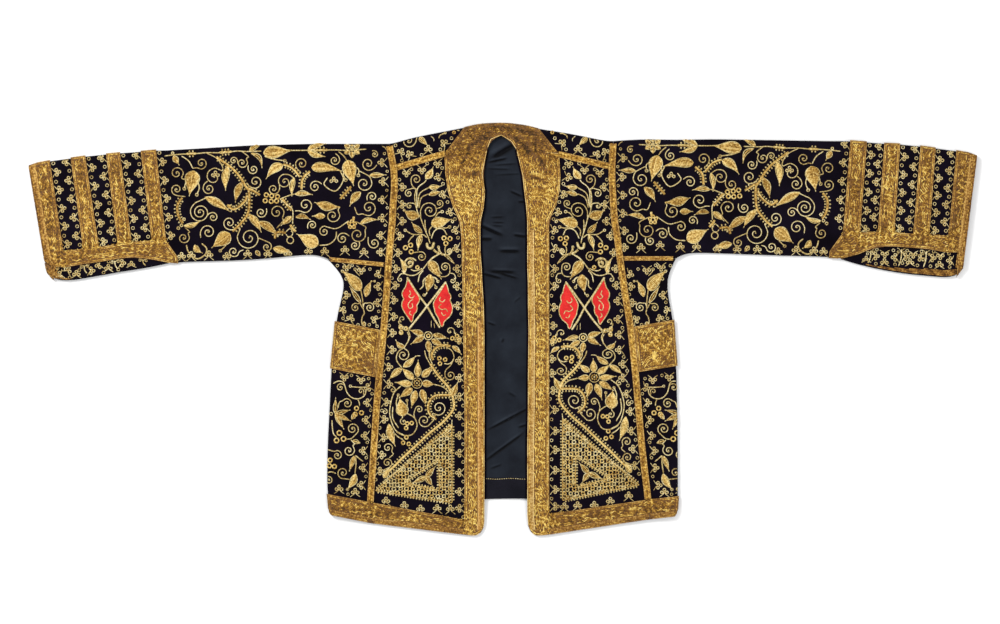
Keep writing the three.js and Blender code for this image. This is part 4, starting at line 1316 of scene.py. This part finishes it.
def front_lower(s):
    """The lower part of a front, from the waist to the hem."""
    left = ((195, 85), (165, 235), (165, 385), (145, 540), (125, 690), (120, 850), (105, 1000), (90, 1140))
    for x, y in left:
        s.trefoil(x, y, 0, legs=8)
        s.ring(x - 40, y + 74, 2.2, width=1.1)
    for y in (180, 330, 495, 660, 830, 985, 1155, 1320, 1465):
        s.trefoil(778, y, 180, legs=8)
        s.ring(812, y + 76, 2.2, width=1.1)
    for x, y in ((140, 1400), (300, 1440), (440, 1470), (585, 1465), (700, 1470)):
        s.trefoil(x, y, 90, legs=8)
    s.spiral(290, 130, 58, 80, -1, (327, -97), (349, -27), (302, 63))
    s.curve((302, 63), (247, 103), (232, 173), (280, 243))
    s.leaf((302, 56), (232, 12), 40, bend=-16)
    s.leaf((290, 235), (390, 150), 50, bend=6)
    s.leaf((280, 245), (175, 335), 50, bend=6)
    s.curve((390, 150), (410, 138), (440, 138), width=1.4)
    for base, tip in (
        ((415, 320), (420, 190)),
        ((455, 320), (540, 240)),
        ((380, 340), (285, 250)),
        ((455, 375), (555, 385)),
        ((365, 385), (235, 370)),
        ((370, 420), (265, 495)),
        ((400, 440), (365, 575)),
        ((450, 430), (485, 560)),
    ):
        s.leaf(base, tip, 56, full=0.7)
    s.eye(410, 375, 7.6)
    s.curve((270, 400), (210, 460), (180, 560), (175, 660), (220, 780), (300, 830))
    s.curve((200, 580), (200, 680), (250, 765))
    s.leaf((292, 662), (262, 512), 104, full=0.66)
    s.curve((238, 600), (230, 540), (247, 478), end=1.6)
    s.curve((312, 610), (326, 566), (323, 525), end=1.6)
    s.curve((330, 640), (390, 680), (410, 750), (370, 820), (300, 830), (230, 800))
    s.spiral(294, 710, 34, 110, 1, (335, 640), (290, 648), turns=1.3)
    s.cluster(330, 738, ((-4, -11), (34, -15), (-14, 28)), r=2.6)
    s.spiral(430, 605, 36, 180, -1, (400, 700), (384, 650), turns=1.5)
    s.spiral(474, 700, 62, 340, -1, (556, 652), (558, 690), turns=1.6)
    s.curve((476, 90), (490, 146), (526, 212))
    s.curve((516, 96), (520, 150), (546, 214))
    s.beaded((526, 206), (558, 256), (593, 306), (640, 360), (690, 420), (722, 500), (726, 600), (640, 710),
             (520, 810), (400, 920), (280, 1030), (200, 1110), (150, 1150))
    s.beaded((720, 480), (650, 480), (560, 490), (510, 560), (520, 640), (580, 690))
    s.spiral(600, 590, 70, 225, 1, (545, 660))
    s.beaded((550, 176), (538, 128), (561, 82), (600, 54), (655, 46), (702, 54))
    s.cluster(625, 180, ((-20, -20), (30, -10), (-15, 25)), r=2.6)
    s.curve((646, 204), (686, 209), (716, 188), (729, 162))
    s.leaf((716, 54), (788, 114), 36, bend=-6)
    s.spiral(701, 306, 50, 165, 1, (662, 58), (709, 89), (729, 128), (729, 166), (701, 221), (664, 258))
    s.curve((555, 385), (640, 410), (700, 470))
    s.leaf((715, 490), (760, 380), 50)
    s.leaf((165, 730), (215, 910), 64, bend=10)
    s.curve((216, 813), (250, 845), (290, 866))
    s.cluster(316, 880, ((2, -34), (-26, 13), (23, 24)), r=2.6)
    s.spiral(156, 938, 46, 320, 1, (169, 1025), (203, 994), turns=1.5)
    s.spiral(151, 1068, 45, 300, 1, (122, 1130), turns=1.6)
    s.spiral(199, 434, 26, 60, -1, turns=1.3)
    s.spiral(130, 624, 24, 60, -1, turns=1.3)
    s.leaf((120, 1200), (165, 1120), 50)
    outer, inner = ((715, 730), (715, 1415), (50, 1310)), ((600, 1040), (605, 1310), (300, 1240))
    s.lattice(outer, inner, 54)
    for corners in (outer, inner):
        for a, b in zip(corners, corners[1:] + corners[:1]):
            s.beaded(a, ((a[0] + b[0]) / 2, (a[1] + b[1]) / 2), b, reach=2.2, pitch=4.4, thin=True)
    s.curve((716, 690), (700, 780), (600, 858), (360, 1042), (110, 1240), width=1.3)
    for tip in ((562, 1108), (380, 1240), (540, 1262)):
        s.leaf((490, 1190), tip, 44, full=0.7)
    s.ring(490, 1190, 1.6)


def side_motifs(s):
    """A side panel, above and below the waist band."""
    s.leaf((217, 152), (108, 38), 66, bend=8, full=0.6)
    s.leaf((246, 192), (276, 104), 36, bend=-4)
    s.curve((276, 106), (286, 98), (300, 98), width=1.3, end=1.2)
    s.leaf((217, 230), (155, 138), 24)
    s.curve((180, 26), (190, 44), (212, 66), width=1.3)
    s.curve((217, 150), (228, 210), (232, 262), (238, 292), (226, 312), (222, 342), (226, 366))
    s.leaf((232, 342), (242, 372), 20)
    s.spiral(185, 257, 28, 55, 1, (228, 262), (212, 232), turns=1.6)
    s.spiral(270, 256, 31, 125, -1, (230, 264), (238, 232), turns=1.7)
    for x, y, heading in ((220, 32, 270), (323, 56, 200), (320, 130, 180), (317, 228, 180), (300, 328, 150),
                          (155, 322, 70), (107, 272, 60), (130, 182, 0), (132, 14, 270)):
        s.trefoil(x, y, heading, legs=7)
    for x, y in ((165, 2), (182, 26), (272, 25), (107, 38), (332, 178), (325, 280), (315, 370), (268, 360),
                 (200, 361), (110, 322), (115, 225), (128, 84), (76, 4)):
        s.ring(x, y, 2.0, width=1.1)
    for x, y in ((118, 676), (218, 692)):
        s.trefoil(x, y, 270, legs=7)
    s.trefoil(261, 738, 200, legs=7)
    for x, y in ((57, 641), (161, 665), (264, 684), (285, 776), (277, 875), (269, 972), (256, 1069),
                 (250, 1161), (248, 1274), (137, 1352), (140, 1381)):
        s.ring(x, y, 2.0, width=1.1)
    s.curve((156, 733), (205, 737), (246, 736))
    s.ring(154, 730, 1.7, width=1.3)
    s.curve((51, 714), (80, 700), (110, 706), (122, 732), (135, 770), (165, 800), (205, 806), (240, 785),
            (250, 748))
    s.spiral(94, 738, 25, 50, 1, (120, 726), turns=1.4)
    s.spiral(218, 761, 20, 320, 1, (240, 786), turns=1.3)
    s.spiral(135, 835, 33, 150, -1, (80, 862), (88, 828), turns=1.6)
    for tip, wide in (((65, 811), 24), ((143, 876), 24), ((148, 936), 26), ((110, 980), 26)):
        s.leaf((62, 897), tip, wide)
    s.ring(38, 897, 2.2, width=1.3)
    s.curve((199, 811), (208, 830), (210, 850))
    s.cluster(197, 886, ((-6, -22), (24, 5), (-14, 14)), r=3.0)
    s.leaf((184, 896), (161, 930), 24)
    s.spiral(167, 988, 40, 292, 1, (124, 1050), (158, 1046), turns=1.75)
    s.curve((43, 934), (46, 983), (54, 1020), (72, 1036))
    s.cluster(91, 1037, ((-3, -25), (-20, 20), (22, 11)), r=3.4)
    s.leaf((167, 1059), (214, 1072), 24)
    s.spiral(145, 1118, 38, 50, -1, (156, 1052), (178, 1078))
    s.curve((186, 1147), (207, 1166), (231, 1184))
    s.leaf((178, 1150), (151, 1232), 26)
    s.curve((186, 1146), (188, 1198), (182, 1256))
    s.leaf((186, 1258), (142, 1345), 40, bend=-8)
    s.spiral(75, 1147, 32, 130, -1, (18, 1112), turns=1.6)
    s.cluster(38, 1198, ((-6, -22), (-10, 12), (20, 16)), r=3.0)
    s.spiral(110, 1252, 38, 288, -1, (161, 1293), turns=1.6)
    s.curve((16, 1252), (40, 1246), (68, 1256))
    s.spiral(24, 1298, 24, 90, -1, turns=1.4)
    for x, y in ((256, 830), (248, 934), (242, 1029), (231, 1120), (231, 1222), (218, 1327)):
        s.trefoil(x, y, 180, legs=7)
    for x, y in ((86, 1349), (183, 1369)):
        s.trefoil(x, y, 90, legs=7)


PENNANT_GRID = (198.75, 98.25), 0.09566
# Each drawing: its panel, where its grid starts (out from the centre and up, mm), and a grid step in mm.
PLOTS = [
    (sleeve_outer, "sleeve", (506.25, 288.75), 0.12087),
    (sleeve_inner, "sleeve", (333.45, 289.5), 0.11867),
    (front_upper, "front", (176.25, 285.75), 0.12438),
    (shoulder, "back", (176.25, 285.75), 0.12438),
    (pennant_level, "front", *PENNANT_GRID),
    (front_lower, "front", (198.75, -14.25), 0.17222),
    (side_motifs, "side", (266.25, 98.25), 0.24876),
]


def right_front(out, y):
    """Where the right front's motifs lie: farther out than the left's, and higher where the hem rises."""
    rise = np.interp(y, [-262, -200, -150, -115, -80, -20, 20, 60], [4, 5, 8, 11, 9, -2, -4, 0])
    slope = np.interp(y, [-262, -120, -60], [0.045, 0.025, 0])
    return out + np.interp(y, [-140, -80, 120, 200], [14.5, 9.5, 10, 2]), y + rise + slope * (out - 91)


SHIFTS = {
    "back": lambda out, y: (out + 2, y),
    "sleeve": lambda out, y: (out, y + 7),
    "front": right_front,
    "side": lambda out, y: (out + 5 + 19 * (83 - y) / 368, y),
}
gilt = {}
for side in SIDES:
    for panel in ("sleeve", "front", "side", "sleeve_gusset", "back"):
        tree = over("back" if panel == "back" else f"{panel}_{side}")
        gilt[panel, side] = (Cords(tree), Cords(tree))
    for draw, panel, corner, step in PLOTS:
        draw(Stitcher(*gilt[panel, side], side, corner, step, SHIFTS[panel]))

# ---- trefoils between the stripes of the sleeves, and on the gussets ----
GUSSET_BARS = {"left": (-627, -581, -539), "right": (551, 597, 634)}
GUSSET_PITCH = 17.5  # between trefoils of a row past the listed ones, mm
RIM = {"left": (0.9, 2.7), "right": (0.9, 2.7, 4.5, 6.3, 8.1)}  # gold rows along a gusset's lower edge, mm
GUSSET_GRID = {"left": -709.2, "right": 550.8}  # where each gusset's grid starts, mm
GUSSET_STEP, GUSSET_TOP = 0.09566, 148.9
GUSSET_FLOWERS = {  # x, y and heading
    "left": ((480, 705, 200), (600, 630, 60), (735, 695, 90), (965, 640, 0), (1085, 550, 200),
             (1235, 600, 90), (1450, 520, 0)),
    "right": ((80, 410, 0), (225, 375, 270), (220, 510, 90), (385, 430, 180), (550, 420, 0), (670, 385, 270),
              (620, 510, 90), (795, 440, 225), (970, 440, 0), (1095, 405, 270), (1080, 550, 90),
              (1250, 480, 180)),
}
GUSSET_RINGS = {
    "left": ((780, 630), (915, 538), (1240, 497), (440, 600), (630, 745), (1160, 668), (1390, 622)),
    "right": ((100, 310), (360, 320), (575, 325), (800, 338), (990, 340), (1230, 372), (85, 530), (385, 540),
              (500, 520), (735, 555), (940, 568), (1240, 580)),
}


def gusset_motifs(side, cords, filled):
    """Trefoils and rings between thin bars, above gold rows along the lower edge."""
    loop = outline(f"sleeve_gusset_{side}")
    low, high = (np.array(sorted(map(tuple, spaced(facing(loop, (0, k), 0.5), 2.0)))) for k in (-1, 1))
    way = SIDES[side]
    cuff = way * low[:, 0].max() if way > 0 else -low[:, 0].min()
    tip = cuff - 178

    def at(x, share):
        grown = min(1.0, max(0.0, (way * x - tip) / 110))
        floor = np.interp(x, low[:, 0], low[:, 1]) + (RIM[side][-1] + 1.6) * grown
        roof = np.interp(x, high[:, 0], high[:, 1])
        return np.array([x, floor + (roof - floor) * share])

    def placed(x, y):
        return np.array([GUSSET_GRID[side] + x * GUSSET_STEP, GUSSET_TOP - y * GUSSET_STEP])

    for k, depth in enumerate(RIM[side]):
        start = tip + 30 + 22 * k if side == "right" else cuff - 40 + 14 * k
        run = low[(way * low[:, 0] > start) & (way * low[:, 0] < cuff - 9)] + np.array([0, depth])
        run = spaced(run, 2.0)
        tone = 0.3 + 0.25 * np.sin(np.arange(len(run)) * 0.7 + 2 * k)
        worked[f"gusset_border_{side}"][2][0].lay(run, 1.9, sides=3, tone=tone)
    for x, y, heading in GUSSET_FLOWERS[side]:
        trefoil(cords, filled, placed(x, y), heading, 0.98, 5.5)
    for x, y in GUSSET_RINGS[side]:
        cords.lay(circle(placed(x, y), 2.1, 10), 1.15, taper=False, sides=3)
    last = -min(way * placed(x, 0)[0] for x, _, _ in GUSSET_FLOWERS[side]) + 14
    for row, share in enumerate((0.28, 0.74)):
        for k in range(10):
            x = way * (-last - GUSSET_PITCH * (k + 0.5 * row))
            tall = at(x, 1)[1] - at(x, 0)[1]
            clear = min(abs(x - bar) for bar in GUSSET_BARS[side])
            if tall < 9 or (tall < 17 and row):
                continue
            if clear > 5.5:
                trefoil(cords, filled, at(x, share), (90, 20, 160, 60, 120, 200)[(k + 2 * row) % 6], 0.9, 4)
            if tall > 16:
                spot = at(x + GUSSET_PITCH / 2, 0.94 - 0.86 * share)
                cords.lay(circle(spot, 1.9, 10), 1.1, taper=False, sides=3)
    for x in GUSSET_BARS[side]:
        stem = [at(x - 4 * way, 0.02), at(x - 0.5 * way, 0.4), at(x + 0.6 * way, 0.9)]
        cords.lay(flowing(stem), 1.9, sides=3)
        for k in (-1, 1):
            arc = [at(x, 0.72), at(x + 3 * k, 0.9), at(x + 6.5 * k, 0.94)]
            cords.lay(flowing(arc), 1.1, sides=3)
            cords.lay(circle(at(x + 4.6 * k, 0.74), 1.6, 10), 1.1, taper=False, sides=3)


def corner_rows(side):
    """Six worn straight rows along the outer edge of a cuff, on round the corner of the gusset."""
    way = SIDES[side]
    above = facing(outlines[f"cuff_border_{side}"], (way, 0), 0.5)
    below = facing(outlines[f"gusset_border_{side}"], (way, -0.5), 0.2)
    above, below = (run[np.argsort(-run[:, 1])] for run in (above, below))
    below = below[below[:, 1] < above[:, 1].min() - 2]
    line = spaced(flowing(np.vstack([above, below])[::2], 3.0), 1.8)
    for _ in range(3):
        line[1:-1] = (line[:-2] + line[1:-1] * 2 + line[2:]) / 4
    inward = leftward(line)
    if inward[:, 0].mean() * way > 0:
        inward = -inward
    rows = worked[f"cuff_border_{side}"][2][0]
    for k in range(6):
        here = 0
        run = line + inward * (0.8 + 1.9 * k)
        while here < len(run) - 2:
            more = rows.random.randint(5, 12)
            tone = 0.1 + 0.06 * k + 0.3 * rows.random.random()
            rows.lay(run[here : here + more + 1], 1.9, lift=0.3, sides=3, tone=tone)
            here += more


for side, way in SIDES.items():
    cords, filled = gilt["sleeve", side]
    for k in (1, 2, 3):
        loop = outlines[f"sleeve_stripe_{side}_{k}"]
        for out in (-1, 1):
            run = facing(loop, (out, 0))
            garland(cords, filled, run)
    run = facing(outlines[f"cuff_border_{side}"], (-way, 0))
    garland(cords, filled, run)
    gusset_motifs(side, *gilt["sleeve_gusset", side])
    corner_rows(side)


gold = {}
for node, layers in worked.items():
    gold[node] = [grounds[node]]
    for (cords, material), part in zip(layers, ("_cords", "_edge", "_rows")):
        if cords.faces:
            gold[node].append(cords.piece(node + part, material, "gold_work"))


# ---- the pennants ----
PENNANTS = {
    "outer": ((590, 195), (575, 270), (556, 340), (520, 392), (500, 440), (508, 495), (530, 530), (502, 580),
              (495, 640), (512, 695), (550, 762), (600, 832), (650, 908), (672, 880), (680, 830), (692, 782),
              (733, 738), (746, 690), (740, 632), (768, 590), (785, 545), (776, 500), (740, 425), (690, 350),
              (640, 275), (605, 215)),
    "inner": ((1190, 268), (1212, 312), (1230, 376), (1236, 420), (1268, 466), (1275, 505), (1260, 558),
              (1288, 610), (1300, 680), (1290, 750), (1250, 820), (1192, 868), (1160, 905), (1150, 960),
              (1128, 975), (1108, 960), (1090, 900), (1070, 835), (1040, 790), (1016, 742), (1010, 700),
              (995, 650), (990, 600), (1012, 548), (1060, 470), (1110, 398), (1152, 328)),
}
SCROLLS = {
    "outer": (
        ((620, 400), (640, 450), (610, 490), (660, 520), (700, 480)),
        ((680, 540), (640, 560), (600, 620), (620, 680), (670, 660), (660, 600)),
        ((640, 720), (620, 760), (655, 790)),
    ),
    "inner": (
        ((1110, 500), (1090, 550), (1140, 580), (1180, 540)),
        ((1120, 610), (1080, 660), (1130, 700), (1190, 690), (1220, 740)),
        ((1120, 740), (1150, 790), (1190, 780)),
    ),
}


def felt(name, loop, tree):
    """A flat piece of felt with that outline, laid on what is under it."""
    ring = spaced(np.vstack([loop, loop[:1]]), 1.5)[:-1]
    low, high = ring.min(axis=0), ring.max(axis=0)
    columns, rows = (np.arange(low[k], high[k], 3.0) for k in (0, 1))
    grid = np.stack(np.meshgrid(columns, rows), -1).reshape(-1, 2)
    grid = grid[inside(grid, ring) & ~near(grid, ring, 1.4)]
    flat = np.vstack([ring, grid])
    count = len(ring)
    made = delaunay_2d_cdt([Vector(p) for p in flat], [], [list(range(count))], 1, 1e-4)
    plan = made[0]
    order = {tuple(np.round(p, 3)): i for i, p in enumerate(plan)}
    edge = [order[tuple(np.round(Vector(p), 3))] for p in ring]
    heights = []
    for p in plan:
        place = tree.ray_cast(Vector((p.x * MM, p.y * MM, 0.05)), Vector((0, 0, -1)))[0]
        heights.append(place.z / MM)
    points = [(p.x * MM, p.y * MM, (z + 0.85) * MM) for p, z in zip(plan, heights)]
    points += [(plan[i].x * MM, plan[i].y * MM, (heights[i] - 0.2) * MM) for i in edge]
    faces = [list(f) for f in made[2]]
    base = len(plan)
    for k, i in enumerate(edge):
        j = (k + 1) % count
        faces.append([i, base + k, base + j, edge[j]])
    faces.append([base + k for k in range(count)][::-1])
    mesh = bpy.data.meshes.new(name)
    mesh.from_pydata(points, [], faces)
    bm = bmesh.new()
    bm.from_mesh(mesh)
    bmesh.ops.recalc_face_normals(bm, faces=bm.faces)
    bm.to_mesh(mesh)
    bm.free()
    mesh.shade_smooth()
    mesh.set_sharp_from_angle(angle=math.radians(50))
    return new_object(name, mesh, FELT)


def pennants(side):
    """Two crossed red pennants with gilt edges, a plain scroll in each, and their staffs."""
    under = Stitcher(None, None, side, *PENNANT_GRID, SHIFTS["front"])
    loops = {part: under.plan(points) for part, points in PENNANTS.items()}
    ground = tree_of(cloth[f"front_{side}"])
    flags = {part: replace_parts(felt(f"pennant_{side}_{part}", loop, ground), f"flag_{side}_{part}")
             for part, loop in loops.items()}
    cords = Cords(tree_of(cloth[f"front_{side}"], *flags.values()))
    s = Stitcher(cords, cords, side, under.corner, under.step, under.shift)
    for part, loop in loops.items():
        ring = spaced(np.vstack([loop, loop[:1]]), 1.5)
        middle = loop.mean(axis=0)
        cords.lay(ring + (middle - ring) * 0.03, 1.6, taper=False)
        for scroll in SCROLLS[part]:
            s.curve(*scroll, width=1.5)
    s.curve((582, 192), (740, 440), (890, 640), (1000, 830), (1098, 985), width=3.2)
    s.curve((1195, 262), (1050, 450), (900, 640), (760, 820), (610, 1005), width=3.2)
    s.cluster(540, 1000, ((-60, -45), (-50, 45), (20, 0), (-10, -10)), r=2.0)
    return list(flags.values()), cords.piece(f"pennant_cords_{side}", CORD, "gold_work")


red = {side: pennants(side) for side in SIDES}
stitched = {}
for (panel, side), (cords, filled) in gilt.items():
    stitched[panel, side] = [cords.piece(f"{panel}_{side}_cords", CORD, "gold_work")]
    if filled.faces:
        stitched[panel, side].append(filled.piece(f"{panel}_{side}_filling", FILLED, "gold_work"))


# ---- the hidden lower face, worked thin and flat with like motifs and plain bands ----
def flat_band(cords, loop, depth):
    """Straight rows side by side along the lower edge of a panel, up to a depth in mm."""
    run = spaced(facing(loop, (0, -1), 0.5), 2.4)
    for k in range(int(depth / 2.3)):
        cords.lay(run + np.array([0, 1.4 + 2.3 * k]), 2.4, sides=3, taper=False)


def back_flower(s):
    """A flower on the back, where the fronts have their pennants."""
    s.flower(700, 560, 8, 90, 330, 120, ring=6.0)
    s.spiral(980, 300, 80, 200, 1)
    s.spiral(1080, 820, 80, 150, -1)


def underside(side):
    """What lies below: the sleeve, the back's half and the side panel."""
    made = {}
    for panel, draws in (("sleeve", PLOTS[:2]), ("back", [PLOTS[2], *PLOTS[4:6]]), ("side", PLOTS[6:])):
        tree = over("back" if panel == "back" else f"{panel}_{side}")
        cords, filled, bands = Cords(tree, -1), Cords(tree, -1), Cords(tree, -1)
        for draw, _, corner, step in draws:
            draw(Stitcher(cords, filled, side, corner, step, SHIFTS[panel]))
        if panel == "sleeve":
            for k in (1, 2, 3):
                strip_cords(f"sleeve_stripe_{side}_{k}", (bands, bands, bands), (1, 0), count=9)
            strip_cords(f"cuff_border_{side}", (bands, bands, bands), (1, 0), count=14)
        elif panel == "side":
            flat_band(bands, outline(f"side_{side}"), 32)
        else:
            back_flower(Stitcher(cords, filled, side, *PENNANT_GRID, SHIFTS["front"]))
            if side == "left":
                flat_band(bands, outline("back"), 32)
        layers = ((cords, "cords", CORD), (filled, "filling", FILLED), (bands, "bands", COUCHING))
        made[panel] = [
            work.piece(f"under_{panel}_{side}_{part}", material, "gold_work")
            for work, part, material in layers
            if work.faces
        ]
    return made


below = {side: underside(side) for side in SIDES}

# ---- what is sewn on each sheet of cloth, gathered panel by panel ----
SEWN_ON = {
    "front": ("front_border", "hem_border_front", "seam_strip", "shoulder_strip"),
    "side": ("hem_border_side", "waist_band"),
    "sleeve": ("sleeve_stripe", "sleeve_band", "cuff_border", "underarm_strip"),
    "sleeve_gusset": ("gusset_border",),
}
for side in SIDES:
    for panel, names in SEWN_ON.items():
        work = [p for node in gold for p in gold[node] if side in node and node.startswith(names)]
        work += stitched[panel, side] + below[side].get(panel, [])
        if panel == "front":
            work += red[side][0] + [red[side][1], piping[side]]


# ---- light, ground and camera ----
def area_light(name, place, size, power):
    """A round lamp that shines at the jacket's middle. Place and size are in metres."""
    light = bpy.data.lights.new(name, "AREA")
    light.shape = "DISK"
    light.size = size
    light.energy = power
    thing = bpy.data.objects.new(name, light)
    scene.collection.objects.link(thing)
    thing.location = place
    thing.rotation_euler = (-Vector(place)).to_track_quat("-Z", "Y").to_euler()


area_light("key", (-1.9, 1.7, 2.6), size=1.2, power=84)
area_light("fill", (1.8, -0.8, 2.8), size=2.4, power=30)

world = bpy.data.worlds.new("studio")
scene.world = world
world.use_nodes = True
world.node_tree.nodes["Background"].inputs["Color"].default_value = (1, 1, 1, 1)
world.node_tree.nodes["Background"].inputs["Strength"].default_value = 0.72

paper = Shader("paper", specular_ior_level=0.1)
grain = paper.noise(0.3, 4)
paper.finish(paper.ramp(grain, [(0.2, srgb(247, 247, 247)), (0.8, srgb(252, 252, 252))]),
             paper.bump(paper.noise(0.002, 2), 0.0001, 0.1))
ground = bpy.data.meshes.new("ground")
ground.from_pydata([(-6, -6, 0), (6, -6, 0), (6, 6, 0), (-6, 6, 0)], [], [(0, 1, 2, 3)])
ground.materials.append(paper.material)
floor = bpy.data.objects.new("floor", ground)
scene.collection.objects.link(floor)
floor.location.z = -0.4 * MM

camera = bpy.data.objects.new("camera", bpy.data.cameras.new("camera"))
scene.collection.objects.link(camera)
camera.location = (-4.22 * MM, 25.9 * MM, 6.0)
camera.data.lens = 144
camera.data.sensor_width = 36
camera.data.clip_end = 40
scene.camera = camera
scene.view_settings.view_transform = "Standard"

bpy.context.view_layer.update()
